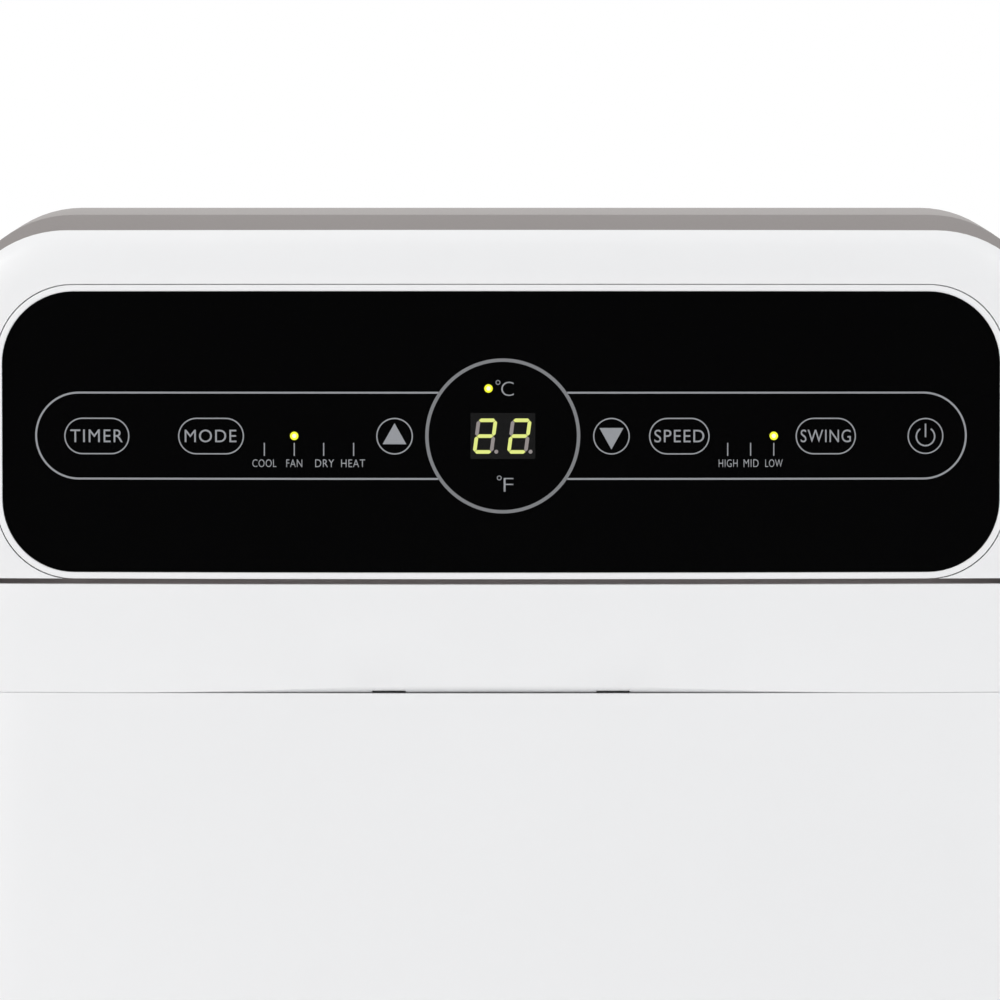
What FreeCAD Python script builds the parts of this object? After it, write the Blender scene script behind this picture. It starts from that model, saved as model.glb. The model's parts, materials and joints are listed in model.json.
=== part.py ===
import FreeCAD, Part
import math
import os
import Sketcher

# Portable air conditioner. Millimetres, +Z up, front faces -Y, +X is the right side seen from
# the front. The origin is the middle of the footprint, on the floor.

doc = FreeCAD.newDocument("PortableAirConditioner")
sheet = doc.addObject("Spreadsheet::Sheet", "Size")
nodes = {}
sheetRows = []


class Dim:
    # A length that knows both its number and the sheet expression it comes from.
    def __init__(self, value, text):
        self.value = float(value)
        self.text = text

    def __add__(self, other):
        other = asDim(other)
        return Dim(self.value + other.value, "(%s + %s)" % (self.text, other.text))

    def __sub__(self, other):
        other = asDim(other)
        return Dim(self.value - other.value, "(%s - %s)" % (self.text, other.text))

    def __mul__(self, other):
        other = asDim(other)
        return Dim(self.value * other.value, "(%s * %s)" % (self.text, other.text))

    def __truediv__(self, other):
        other = asDim(other)
        return Dim(self.value / other.value, "(%s / %s)" % (self.text, other.text))

    def __neg__(self):
        return Dim(-self.value, "(0 - %s)" % self.text)

    def __radd__(self, other):
        return asDim(other) + self

    def __rsub__(self, other):
        return asDim(other) - self

    def __rmul__(self, other):
        return asDim(other) * self


def asDim(number):
    return number if isinstance(number, Dim) else Dim(number, "(%.6g)" % number)


def root(dim):
    return Dim(math.sqrt(dim.value), "sqrt(%s)" % dim.text)


def size(alias, value, note):
    sheetRows.append(alias)
    row = str(len(sheetRows))
    sheet.set("A" + row, alias)
    sheet.set("B" + row, str(value))
    sheet.setAlias("B" + row, alias)
    sheet.set("C" + row, note)
    return Dim(value, "Size." + alias)


def bind(thing, prop, dim):
    thing.setExpression(prop, asDim(dim).text)


def moveTo(thing, x, y, z):
    for letter, dim in zip("xyz", (x, y, z)):
        bind(thing, "Placement.Base." + letter, dim)


turns = {
    "z": FreeCAD.Rotation(),
    "x": FreeCAD.Rotation(FreeCAD.Vector(0, 1, 0), 90),
    "y": FreeCAD.Rotation(FreeCAD.Vector(1, 0, 0), -90),
}


def box(name, x, y, z):
    block = doc.addObject("Part::Box", name)
    for prop, span in zip(("Length", "Width", "Height"), (x, y, z)):
        bind(block, prop, asDim(span[1]) - span[0])
    moveTo(block, x[0], y[0], z[0])
    return block


def rod(name, radius, length, at, axis="z"):
    piece = doc.addObject("Part::Cylinder", name)
    piece.Placement = FreeCAD.Placement(FreeCAD.Vector(), turns[axis])
    bind(piece, "Radius", radius)
    bind(piece, "Height", length)
    moveTo(piece, *at)
    return piece


def cone(name, radii, length, at, axis="z"):
    piece = doc.addObject("Part::Cone", name)
    piece.Placement = FreeCAD.Placement(FreeCAD.Vector(), turns[axis])
    bind(piece, "Radius1", radii[0])
    bind(piece, "Radius2", radii[1])
    bind(piece, "Height", length)
    moveTo(piece, *at)
    return piece


def fuse(name, *pieces):
    whole = doc.addObject("Part::MultiFuse", name)
    whole.Shapes = list(pieces)
    return whole


def common(name, *pieces):
    whole = doc.addObject("Part::MultiCommon", name)
    whole.Shapes = list(pieces)
    return whole


def cut(name, base, *tools):
    whole = doc.addObject("Part::Cut", name)
    whole.Base = base
    whole.Tool = tools[0] if len(tools) == 1 else fuse(name + "Tools", *tools)
    return whole


def group(name, *pieces):
    whole = doc.addObject("Part::Compound", name)
    whole.Links = list(pieces)
    return whole


def keep(node, thing):
    thing.Label = node
    nodes[node] = thing
    return thing


def newBody(name):
    return doc.addObject("PartDesign::Body", name)


def sketch(body, name, plane, offset, path):
    # path: steps (u, v) for a straight edge to that point, or (u, v, cu, cv, radius, sense)
    # for an arc to it about (cu, cv); sense is 1 for anticlockwise, -1 for clockwise.
    sk = body.newObject("Sketcher::SketchObject", name)
    face = [item for item in body.Origin.OriginFeatures if item.Role == plane][0]
    sk.AttachmentSupport = [(face, "")]
    sk.MapMode = "FlatFace"
    bind(sk, "AttachmentOffset.Base.z", offset)
    addPath(sk, path)
    return sk


def addPath(sk, path):
    count = len(path)
    spots = [(asDim(step[0]), asDim(step[1])) for step in path]
    ends = []
    for i, step in enumerate(path):
        first = spots[i - 1]
        last = spots[i]
        a = FreeCAD.Vector(first[0].value, first[1].value, 0)
        b = FreeCAD.Vector(last[0].value, last[1].value, 0)
        if len(step) == 2:
            edge = sk.addGeometry(Part.LineSegment(a, b), False)
            ends.append((edge, 1, 2))
            continue
        centre = FreeCAD.Vector(asDim(step[2]).value, asDim(step[3]).value, 0)
        if step[5] < 0:
            a, b = b, a
        start = math.atan2(a.y - centre.y, a.x - centre.x)
        stop = math.atan2(b.y - centre.y, b.x - centre.x)
        if stop <= start:
            stop += 2 * math.pi
        circle = Part.Circle(centre, FreeCAD.Vector(0, 0, 1), asDim(step[4]).value)
        edge = sk.addGeometry(Part.ArcOfCircle(circle, start, stop), False)
        ends.append((edge, 1, 2) if step[5] > 0 else (edge, 2, 1))
    for i, step in enumerate(path):
        edge, start, stop = ends[i]
        after = ends[(i + 1) % count]
        sk.addConstraint(Sketcher.Constraint("Coincident", edge, stop, after[0], after[1]))
        for kind, dim in zip(("DistanceX", "DistanceY"), spots[i]):
            rule = sk.addConstraint(Sketcher.Constraint(kind, -1, 1, edge, stop, dim.value))
            sk.setExpression("Constraints[%d]" % rule, dim.text)
        if len(step) > 2:
            rule = sk.addConstraint(Sketcher.Constraint("Radius", edge, asDim(step[4]).value))
            sk.setExpression("Constraints[%d]" % rule, asDim(step[4]).text)


def rounded(corners):
    # Right-angled corners (u, v, radius), anticlockwise, turned into a path.
    path = []
    for i, (u, v, radius) in enumerate(corners):
        u, v = asDim(u), asDim(v)
        if asDim(radius).value == 0:
            path.append((u, v))
            continue
        before = [asDim(item) for item in corners[i - 1][:2]]
        after = [asDim(item) for item in corners[(i + 1) % len(corners)][:2]]
        inU, inV = direction(u, v, before)
        outU, outV = direction(u, v, after)
        sense = 1 if inU * outV - inV * outU < 0 else -1
        path.append((u + inU * radius, v + inV * radius))
        path.append((u + outU * radius, v + outV * radius,
                     u + (inU + outU) * radius, v + (inV + outV) * radius, radius, sense))
    return path


def direction(u, v, other):
    du = other[0].value - u.value
    dv = other[1].value - v.value
    if abs(du) > abs(dv):
        return (1 if du > 0 else -1), 0
    return 0, (1 if dv > 0 else -1)


def feature(body, kind, name, sk, **dims):
    item = body.newObject("PartDesign::" + kind, name)
    item.Profile = sk
    for prop, dim in dims.items():
        bind(item, prop, dim)
    return item


def pad(body, name, sk, length):
    return feature(body, "Pad", name, sk, Length=length)


def pocket(body, name, sk, length):
    return feature(body, "Pocket", name, sk, Length=length)


# ---------------------------------------------------------------- sizes
width = size("case_width", 447, "overall width")
depth = size("case_depth", 370, "overall depth, front bow to exhaust collar")
height = size("case_height", 720, "overall height on its casters")
wall = size("wall", 2.8, "moulded wall")
faceBow = size("face_bow", 2500, "plan radius of the bowed front")
shellDepth = size("shell_depth", 35, "white front shell, front to seam")
shellDrop = size("shell_drop", 11.7, "crest of the case above the white shell")
shellCorner = size("shell_corner", 49, "top corners of the white shell")
crownStep = size("crown_step", 7.1, "dark step above the white shell, height")
crownRun = size("crown_run", 6, "dark step above the white shell, depth")
crestRun = size("crest_run", 60, "sloping band behind the step, depth")
crestCorner = size("crest_corner", 47, "top corners of the case at its crest")
shoulder = size("shoulder_width", 6, "bevel round the white face, in the face")
shoulderDrop = size("shoulder_drop", 3, "bevel round the white face, in depth")
plinthSet = size("plinth_set", 5, "base plinth set in from the case")
plinthCorner = size("plinth_corner", 24, "plan corners of the base plinth")
footCorner = size("foot_corner", 14, "bottom corners of the lower front panel")
panelWidth = size("panel_width", 401, "black control panel width")
panelHeight = size("panel_height", 112.7, "black control panel height")
panelCorner = size("panel_corner", 29, "black control panel corners")
panelDrop = size("panel_drop", 24.5, "white shell top to control panel top")
rim = size("bezel_rim", 2.6, "white rim round the control panel")
rimDepth = size("bezel_depth", 15, "bezel, front to back")
ledge = size("bezel_ledge", 4, "ledge that the glass sits on")
glass = size("glass_thick", 2, "control panel overlay")
glassSet = size("glass_set", 0.4, "overlay below its rim")
fit = size("fit", 0.3, "clearance between separate mouldings")
runFit = size("run_fit", 0.05, "radial clearance of a pin in its hole")
slotGap = size("slot_gap", 2.2, "open gap above the closed louver")
flapHeight = size("flap_height", 43.6, "louver height")
flapWidth = size("flap_width", 417, "louver width")
flapThick = size("flap_thick", 7, "louver thickness")
nose = size("flap_nose", 5, "radius of the louver's lower edge about its hinge")
hingeSpread = size("hinge_spread", 45, "louver hinge lugs, from the middle")
pinRadius = size("pin_radius", 1.2, "louver and link pins")
sectorRadius = size("sector_radius", 26, "toothed sector on the louver")
pinionRadius = size("pinion_radius", 6, "pinion on the louver motor")
ductWidth = size("duct_width", 356, "air outlet, inside")
ductSet = size("duct_set", 15.5, "mouth of the outlet behind the front bow")
vaneFirst = size("vane_first", 9, "middle of the outlet to the first vane")
vanePitch = size("vane_pitch", 47, "vane spacing")
vaneNose = size("vane_nose", 12, "vane in front of its pivot")
vaneTail = size("vane_tail", 18, "vane behind its pivot")
vaneThick = size("vane_thick", 1.6, "vane thickness")
vaneSet = size("vane_set", 35, "vane pivot behind the front bow")
crank = size("vane_crank", 14, "vane pivot to link peg")
fanRadius = size("fan_radius", 50, "cross-flow fan")
fanSet = size("fan_set", 60, "front of the cross-flow fan behind the front bow")
deckLevel = size("deck_level", 441, "top of the partition deck")
deckThick = size("deck_thick", 16, "partition deck, top to bottom")
sideInset = size("side_inset", 16.5, "chassis plate inside the case side")
sheetMetal = size("sheet_metal", 2, "chassis sheet")
casterRise = size("caster_rise", 44, "underside of the base above the floor")
baseRise = size("base_rise", 18, "base tray height")
wheelRadius = size("wheel_radius", 20, "caster wheel")
wheelWidth = size("wheel_width", 16, "caster wheel")
casterTrail = size("caster_trail", 12, "caster axle behind its stem")
casterInsetX = size("caster_inset_x", 48, "caster stem in from the side")
casterInsetY = size("caster_inset_y", 58, "caster stem in from front and back")
stemRadius = size("stem_radius", 5, "caster stem")
axleRadius = size("axle_radius", 3, "caster axle")
collarStand = size("collar_stand", 12, "exhaust collar behind the rear panel")
collarRadius = size("collar_radius", 68, "exhaust collar, outside")
collarBore = size("collar_bore", 64, "exhaust collar, inside")
collarX = size("collar_across", 90, "exhaust collar, right of the middle")
collarZ = size("collar_height", 358.5, "exhaust collar above the floor")
rearRim = size("rear_rim", 9, "depth of the rear panel moulding")
slatPitch = size("slat_pitch", 8, "grille slat spacing")
slatThick = size("slat_thick", 2, "grille slat")
grilleWidth = size("grille_width", 352, "intake openings")
coilDepth = size("coil_depth", 44, "coil thickness, front to back")
shellRadius = size("compressor_radius", 55, "compressor shell")
scrollRadius = size("scroll_radius", 98, "condenser fan housing")
scrollX = size("scroll_across", 60, "condenser fan axis, right of the middle")
scrollZ = size("scroll_height", 174, "condenser fan axis above the floor")
pipeRadius = size("pipe_radius", 4.8, "refrigerant pipe")

half = width / 2
frontY = -depth / 2
seamY = frontY + shellDepth
rearFace = depth / 2 - collarStand
rearSeam = rearFace - rearRim
bowCentre = frontY + faceBow
baseTop = casterRise + baseRise
shellTop = height - shellDrop
panelTop = shellTop - panelDrop
panelLow = panelTop - panelHeight
panelMid = panelLow + panelHeight / 2
slotTop = panelLow - rim
flapTop = slotTop - slotGap
flapLow = flapTop - flapHeight
lowerTop = flapLow - fit
hingeY = frontY + nose
ductFront = frontY + ductSet
hingeZ = flapLow + nose
flapHalf = flapWidth / 2
plateX = half - sideInset


def sag(x):
    # How far the bowed front falls back at this distance from the middle.
    return faceBow - root(faceBow * faceBow - asDim(x) * x)


def bowed(name, inset, zLow, zHigh):
    return rod(name, faceBow - inset, asDim(zHigh) - zLow, (0, bowCentre, zLow))


def prism(name, x, z, corners, y):
    # A block seen from the front as a rectangle with rounded corners: low and high radius.
    body = newBody(name)
    path = rounded([(x[0], z[0], corners[0]), (x[1], z[0], corners[0]),
                    (x[1], z[1], corners[1]), (x[0], z[1], corners[1])])
    outline = sketch(body, name + "Outline", "XZ_Plane", -asDim(y[1]), path)
    pad(body, name + "Pad", outline, asDim(y[1]) - y[0])
    return body


def frontBlank(name, zLow, zHigh, lowCorner, topCorner, inset, back):
    # Block with the bowed front face, inset all round by a wall.
    x = half - inset
    body = prism(name, (-x, x), (zLow, zHigh), (lowCorner, topCorner), (frontY - 8, back))
    reach = half + 30
    radius = faceBow - inset
    edge = bowCentre - root(radius * radius - reach * reach)
    path = [(reach, edge, 0, bowCentre, radius, 1), (reach, frontY - 40),
            (-reach, frontY - 40), (-reach, edge)]
    plan = sketch(body, name + "Plan", "XY_Plane", asDim(zHigh) + 10, path)
    trim = feature(body, "Pocket", name + "Trim", plan)
    trim.Type = "ThroughAll"
    return body


def bevelFace(body, name, openLow):
    # Bevels the outer edges of the bowed face, except the edge where another moulding follows.
    doc.recompute()
    base = body.Tip
    picked = []
    for number, edge in enumerate(base.Shape.Edges, 1):
        middle = edge.valueAt((edge.FirstParameter + edge.LastParameter) / 2)
        spots = [vertex.Point for vertex in edge.Vertexes] + [middle]
        offs = [abs(math.hypot(p.x, p.y - bowCentre.value) - faceBow.value) for p in spots]
        level = edge.BoundBox.ZLength < 0.01
        top = edge.BoundBox.ZMax > base.Shape.BoundBox.ZMax - 0.01
        seam = level and (top != openLow)
        if max(offs) < 0.01 and not seam:
            picked.append("Edge%d" % number)
    bevel = body.newObject("PartDesign::Chamfer", name)
    bevel.Base = (base, picked)
    bevel.ChamferType = "Two distances"
    bind(bevel, "Size", shoulderDrop)
    bind(bevel, "Size2", shoulder)
    return body


# ---------------------------------------------------------------- white front shell
frameOuter = bevelFace(frontBlank("frameOuter", flapLow, shellTop, 0, shellCorner, 0, seamY),
                       "frameBevel", True)
frameInner = frontBlank("frameInner", flapLow - 5, shellTop - wall, 0, shellCorner - wall,
                        wall, seamY + 5)
ringHalf = panelWidth / 2 + rim
frameHole = prism("frameHole", (-ringHalf - fit, ringHalf + fit), (slotTop - fit, panelTop + rim + fit),
                  (panelCorner + rim, panelCorner + rim), (frontY - 10, frontY + 24))
frameSlot = box("frameSlot", (-flapHalf - 1, flapHalf + 1), (frontY - 10, frontY + 24),
                (flapLow - 5, slotTop))
keep("front_upper_frame", cut("frontUpperFrame", frameOuter, frameInner, frameHole, frameSlot))

lowerOuter = bevelFace(frontBlank("lowerOuter", baseTop, lowerTop, footCorner, 0, 0, seamY),
                       "lowerBevel", False)
lowerInner = frontBlank("lowerInner", baseTop + wall, lowerTop - wall, footCorner - wall, 0,
                        wall, seamY + 5)
lowerWindow = [box("lowerWindow", (-flapHalf, flapHalf), (ductFront - fit, seamY + 5),
                   (lowerTop - wall - 1, lowerTop + 1))]
knuckle = 6.4
eye = 2.6
for side in (-1, 1):
    middle = hingeSpread * side
    lowerWindow.append(box("lowerNotch%d" % (side + 1), (middle - knuckle - fit, middle + knuckle + fit),
                           (ductFront - 3 - fit, seamY), (lowerTop - wall - 1, lowerTop + 1)))
sectorX = flapHalf - 18.5
lowerWindow.append(box("lowerSectorSlot", (sectorX - 1, sectorX + 4), (hingeY + nose, seamY),
                       (lowerTop - wall - 1, lowerTop + 1)))
keep("front_lower_panel", cut("frontLowerPanel", lowerOuter, lowerInner, *lowerWindow))

# ---------------------------------------------------------------- control panel
panelSides = (-panelWidth / 2, panelWidth / 2)
panelSpan = (panelLow, panelTop)
panelCorners = (panelCorner, panelCorner)
backPlane = frontY + rimDepth
bezelBlock = common("bezelBlock",
                    prism("bezelOutline", (-ringHalf, ringHalf), (slotTop, panelTop + rim),
                          (panelCorner + rim, panelCorner + rim), (frontY - 10, backPlane)),
                    bowed("bezelFace", 0, slotTop - 10, panelTop + 20))
bezelSeat = cut("bezelSeat",
                prism("bezelSeatOutline", panelSides, panelSpan, panelCorners,
                      (frontY - 12, backPlane)),
                bowed("bezelSeatFace", glassSet + glass, panelLow - 10, panelTop + 10))
bezelOpening = prism("bezelOpening", (panelSides[0] + ledge, panelSides[1] - ledge),
                     (panelLow + ledge, panelTop - ledge),
                     (panelCorner - ledge, panelCorner - ledge), (frontY - 12, backPlane + 5))
bezelFlange = common("bezelFlange",
                     prism("flangeOutline", (-ringHalf - 5, ringHalf + 5), (panelLow + 24, panelTop + rim + 5),
                           (0, panelCorner + rim + 5), (frontY - 10, frontY + 22)),
                     bowed("flangeFace", wall, panelLow, panelTop + 30))
flangeRing = cut("flangeRing", bezelFlange, bowed("flangeBack", wall + 2, panelLow - 5, panelTop + 35))
keep("panel_bezel", cut("panelBezel", fuse("bezelRaw", bezelBlock, flangeRing), bezelSeat, bezelOpening))

edge = 0.1
glassBlock = common("glassBlock",
                    prism("glassOutline", (panelSides[0] + edge, panelSides[1] - edge),
                          (panelLow + edge, panelTop - edge),
                          (panelCorner - edge, panelCorner - edge), (frontY - 10, backPlane)),
                    bowed("glassFace", glassSet, panelLow - 10, panelTop + 10))
keep("control_overlay", cut("controlOverlay", glassBlock,
                            bowed("glassBack", glassSet + glass, panelLow - 12, panelTop + 12)))
glassBackY = frontY + glassSet + glass

pcbInset = 5
boardFront = backPlane
board = prism("boardOutline", (panelSides[0] + 3, panelSides[1] - 3), (panelLow + 3, panelTop - 3),
              (panelCorner - 3, panelCorner - 3), (boardFront, boardFront + 1.6))
keep("control_board", board)
legendZ = panelMid - 1.5
digits = box("digitsBlock", (-13.5, 13.5), (glassBackY + 0.3, boardFront), (legendZ - 9.5, legendZ + 9.5))
keep("digit_display", digits)

lampSpots = [(-94.8, 0), (-82.8, 0), (-71, 0), (-59, 0), (90.8, 0), (100, 0), (109.2, 0),
             (-5, 19), (-5, -19)]
lamps = []
for i, (x, dz) in enumerate(lampSpots):
    start = glassBackY + sag(x) + 0.3
    lamps.append(rod("lightGuide%d" % i, 2.4, boardFront - start, (x, start, legendZ + dz), "y"))
keep("light_guides", group("lightGuides", *lamps))

keySpots = [-161.6, -116.2, -42.6, 44.2, 71.4, 129.8, 169.6]
springs = []
for i, x in enumerate(keySpots):
    start = glassBackY + sag(abs(x) + 5)
    sleeve = rod("keySleeve%d" % i, 4.4, boardFront - start, (x, start, legendZ), "y")
    core = rod("keyCore%d" % i, 3.6, boardFront - start - 1, (x, start + 1, legendZ), "y")
    springs.append(cut("keySpring%d" % i, sleeve, core))
keep("touch_springs", group("touchSprings", *springs))

# ---------------------------------------------------------------- louver
flapBody = newBody("flapSection")
flapPath = [(hingeY - nose, hingeZ, hingeY, hingeZ, nose, -1), (hingeY - nose, flapTop),
            (frontY + 22, flapTop), (frontY + 22, flapLow), (hingeY, flapLow)]
flapSketch = sketch(flapBody, "flapOutline", "YZ_Plane", -flapHalf, flapPath)
pad(flapBody, "flapPad", flapSketch, flapWidth)
flapSkin = cut("flapSkin", common("flapFront", flapBody, bowed("flapFace", 0, flapLow - 5, flapTop + 5)),
               bowed("flapBack", flapThick, flapLow - 8, flapTop + 8))
notches = []
for side in (-1, 1):
    middle = hingeSpread * side
    notches.append(box("flapNotch%d" % (side + 1), (middle - knuckle - fit, middle + knuckle + fit),
                       (hingeY - eye - fit, frontY + 24), (flapLow - 5, hingeZ + eye + fit)))
    notches.append(rod("flapBore%d" % (side + 1), pinRadius, knuckle * 2 + 12,
                       (middle - knuckle - 6, hingeY, hingeZ), "x"))
low, high = math.radians(-40), math.radians(22)
sectorHub = 4
sectorBody = newBody("sectorSection")
sectorPath = [(hingeY + sectorRadius * math.cos(low), hingeZ + sectorRadius * math.sin(low)),
              (hingeY + sectorRadius * math.cos(high), hingeZ + sectorRadius * math.sin(high),
               hingeY, hingeZ, sectorRadius, 1),
              (hingeY + sectorHub * math.cos(high), hingeZ + sectorHub * math.sin(high)),
              (hingeY + sectorHub * math.cos(low), hingeZ + sectorHub * math.sin(low),
               hingeY, hingeZ, asDim(sectorHub), -1)]
sectorSketch = sketch(sectorBody, "sectorOutline", "YZ_Plane", sectorX, sectorPath)
pad(sectorBody, "sectorPad", sectorSketch, asDim(3))
keep("louver_flap", fuse("louverFlap", cut("flapCut", flapSkin, *notches), sectorBody))

pins = [rod("flapPin%d" % (side + 1), pinRadius, knuckle * 2 + 12,
            (hingeSpread * side - knuckle - 6, hingeY, hingeZ), "x") for side in (-1, 1)]
keep("louver_pins", group("louverPins", *pins))

# ---------------------------------------------------------------- air outlet duct and fan casing
ductHalf = ductWidth / 2
ductLow = flapLow + fit
ductTop = slotTop + 0.4
fanY = frontY + fanSet + fanRadius
fanZ = hingeZ + 17
shroud = fanRadius + 5.5
plateT = 3
floorBack = fanY - fanRadius
floor = box("ductFloor", (-ductHalf - plateT, ductHalf + plateT), (ductFront, floorBack),
            (ductLow - 2.5, ductLow))
roof = box("ductRoof", (-ductHalf - plateT, ductHalf + plateT), (ductFront, fanY - fanRadius - 4),
           (ductTop, ductTop + 2.5))
tongue = box("ductTongue", (-ductHalf, ductHalf), (fanY - fanRadius - 6.5, fanY - fanRadius - 4),
             (ductTop - 6, ductTop + 2.5))
scrollWall = cut("scrollWall", rod("scrollOuter", shroud + 2.5, ductWidth, (-ductHalf, fanY, fanZ), "x"),
                 rod("scrollInner", shroud, ductWidth + 4, (-ductHalf - 2, fanY, fanZ), "x"))
scrollPart = common("scrollPart", scrollWall,
                    box("scrollKeep", (-ductHalf, ductHalf), (fanY - shroud - 15, fanY + shroud + 15),
                        (fanZ - shroud - 15, ductLow)))
ends = []
for side in (-1, 1):
    name = "%d" % (side + 1)
    x0 = ductHalf if side > 0 else -ductHalf - plateT
    span = (x0, x0 + plateT)
    disc = rod("ductDisc" + name, shroud + 2.5, plateT, (x0, fanY, fanZ), "x")
    slab = box("ductSlab" + name, span, (ductFront, fanY), (ductLow - 2.5, ductTop + 2.5))
    leg = box("ductLeg" + name, span, (fanY - 40, fanY + 40), (deckLevel, fanZ - 30))
    bore = rod("ductBore" + name, 4 + runFit, 12, (x0 - 4, fanY, fanZ), "x")
    ends.append(cut("ductEnd" + name, fuse("ductEndRaw" + name, disc, slab, leg), bore))
ductRaw = fuse("ductRaw", floor, roof, tongue, scrollPart, *ends)
vaneY = frontY + vaneSet
vaneLow = ductLow + 0.5
vaneTop = ductTop - 8
holes = []
vaneXs = []
for side in (-1, 1):
    for i in range(4):
        vaneXs.append((side, i, (vaneFirst + vanePitch * i) * side))
for side, i, x in vaneXs:
    holes.append(rod("vaneHole%d_%d" % (side + 1, i), 1.5 + runFit, ductTop - ductLow + 12,
                     (x, vaneY, ductLow - 6)))
brackets = []
for side in (-1, 1):
    middle = hingeSpread * side
    arm = box("bracketArm%d" % (side + 1), (middle - knuckle, middle + knuckle),
              (hingeY, ductFront), (hingeZ - 1.4, hingeZ + 1.4))
    drop = box("bracketDrop%d" % (side + 1), (middle - knuckle, middle + knuckle),
               (ductFront - 3, ductFront), (ductLow - 2.5, hingeZ + 1.4))
    ring = rod("bracketEye%d" % (side + 1), eye, knuckle * 2, (middle - knuckle, hingeY, hingeZ), "x")
    hole = rod("bracketHole%d" % (side + 1), pinRadius + runFit, knuckle * 2 + 2,
               (middle - knuckle - 1, hingeY, hingeZ), "x")
    brackets.append(cut("bracket%d" % (side + 1), fuse("bracketRaw%d" % (side + 1), arm, drop, ring),
                        hole))
keep("outlet_duct", fuse("outletDuct", cut("ductPierced", ductRaw, *holes), *brackets))

groupNames = {-1: "left", 1: "right"}
for side, i, x in vaneXs:
    tag = "%s%d" % (groupNames[side], i + 1)
    blade = box("vaneBlade" + tag, (x - vaneThick / 2, x + vaneThick / 2),
                (vaneY - vaneNose, vaneY + vaneTail), (vaneLow, vaneTop))
    lowPin = rod("vaneLowPin" + tag, 1.5, 6, (x, vaneY, vaneLow - 3))
    topPin = rod("vaneTopPin" + tag, 1.5, ductTop + 2.5 - vaneTop + 4, (x, vaneY, vaneTop - 4))
    peg = rod("vanePeg" + tag, pinRadius, 9, (x, vaneY + crank, vaneTop - 3))
    keep("vane_" + tag, fuse("vane" + tag, blade, lowPin, topPin, peg))
for side in (-1, 1):
    near = vaneFirst - pinRadius - 1
    far = vaneFirst + vanePitch * 3 + pinRadius + 4
    span = (near, far) if side > 0 else (-far, -near)
    bar = box("linkBar%d" % (side + 1), span, (vaneY + crank - 6, vaneY + crank + 3.2),
              (vaneTop + 1, vaneTop + 3.5))
    slots = []
    for i in range(4):
        x = (vaneFirst + vanePitch * i) * side
        slots.append(box("linkSlot%d_%d" % (side + 1, i), (x - pinRadius - 0.15, x + pinRadius + 0.15),
                         (vaneY + crank - pinRadius - 2.2, vaneY + crank + pinRadius + 0.4),
                         (vaneTop, vaneTop + 5)))
    keep("vane_link_" + groupNames[side], cut("vaneLink%d" % (side + 1), bar, *slots))

# ---------------------------------------------------------------- louver drive
meshAngle = math.radians(20)
pinionY = hingeY + (sectorRadius + pinionRadius) * math.cos(meshAngle)
pinionZ = hingeZ + (sectorRadius + pinionRadius) * math.sin(meshAngle)
pinion = rod("pinionDisc", pinionRadius - fit, 4, (sectorX - 0.5, pinionY, pinionZ), "x")
pinionShaft = rod("pinionShaft", 2, 10, (sectorX - 0.5, pinionY, pinionZ), "x")
keep("louver_pinion", fuse("louverPinion", pinion, pinionShaft))
motorX = sectorX + 7
louverMotor = cut("louverMotorCut",
                  rod("louverMotorCan", 14, plateX - motorX, (motorX, pinionY, pinionZ), "x"),
                  rod("louverMotorBore", 2 + runFit, 4, (motorX - 1, pinionY, pinionZ), "x"))
keep("louver_motor", louverMotor)

# ---------------------------------------------------------------- cross-flow fan
wheelHalf = ductHalf - 4


def bladedWheel(name, plane, axisName, radius, depthOfBlade, offset, length, count, at):
    body = newBody(name)
    path = rounded([(-0.6, radius - depthOfBlade, 0), (0.6, radius - depthOfBlade, 0),
                    (0.6, radius - 0.4, 0), (-0.6, radius - 0.4, 0)])
    outline = sketch(body, name + "Outline", plane, offset, path)
    blade = pad(body, name + "Blade", outline, length)
    doc.recompute()
    pattern = body.newObject("PartDesign::PolarPattern", name + "Pattern")
    pattern.Originals = [blade]
    axis = [item for item in body.Origin.OriginFeatures if item.Role == axisName][0]
    pattern.Axis = (axis, [""])
    pattern.Angle = 360
    pattern.Occurrences = count
    body.Tip = pattern
    moveTo(body, *at)
    return body


fanBlades = bladedWheel("fanBlades", "YZ_Plane", "X_Axis", fanRadius, 8, -wheelHalf, wheelHalf * 2, 28,
                        (0, fanY, fanZ))
fanParts = [fanBlades]
for i in range(5):
    fanParts.append(rod("fanDisc%d" % i, fanRadius, 2,
                        (-wheelHalf + (wheelHalf * 2 - 2) * (i / 4.0), fanY, fanZ), "x"))
fanParts.append(rod("fanShaft", 4, wheelHalf * 2 + 18, (-wheelHalf - 6, fanY, fanZ), "x"))
keep("fan_wheel", fuse("fanWheel", *fanParts))
motorStart = ductHalf + plateT
keep("fan_motor", cut("fanMotor", rod("fanMotorCan", 28, 22, (motorStart, fanY, fanZ), "x"),
                      rod("fanMotorBore", 4 + runFit, 8, (motorStart - 1, fanY, fanZ), "x")))

# ---------------------------------------------------------------- chassis and partition deck
cupY = (-58, 58)
cupZ = (height - 202, height - 164)
cupDepth = 20
chassisSides = []
for side in (-1, 1):
    x = (plateX, plateX + sheetMetal) if side > 0 else (-plateX - sheetMetal, -plateX)
    plate = box("chassisPlate%d" % (side + 1), x, (seamY + 6, rearSeam - 8),
                (casterRise + wall, shellTop - 40))
    window = box("chassisWindow%d" % (side + 1), (x[0] - 5, x[1] + 5), (cupY[0] - 5, cupY[1] + 5),
                 (cupZ[0] - 5, cupZ[1] + 5))
    chassisSides.append(cut("chassisSide%d" % (side + 1), plate, window))
strap = box("chassisStrap", (-plateX, plateX), (seamY + 6, seamY + 8), (panelTop - 20, shellTop - 40))
keep("chassis_frame", fuse("chassisFrame", strap, *chassisSides))

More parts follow.
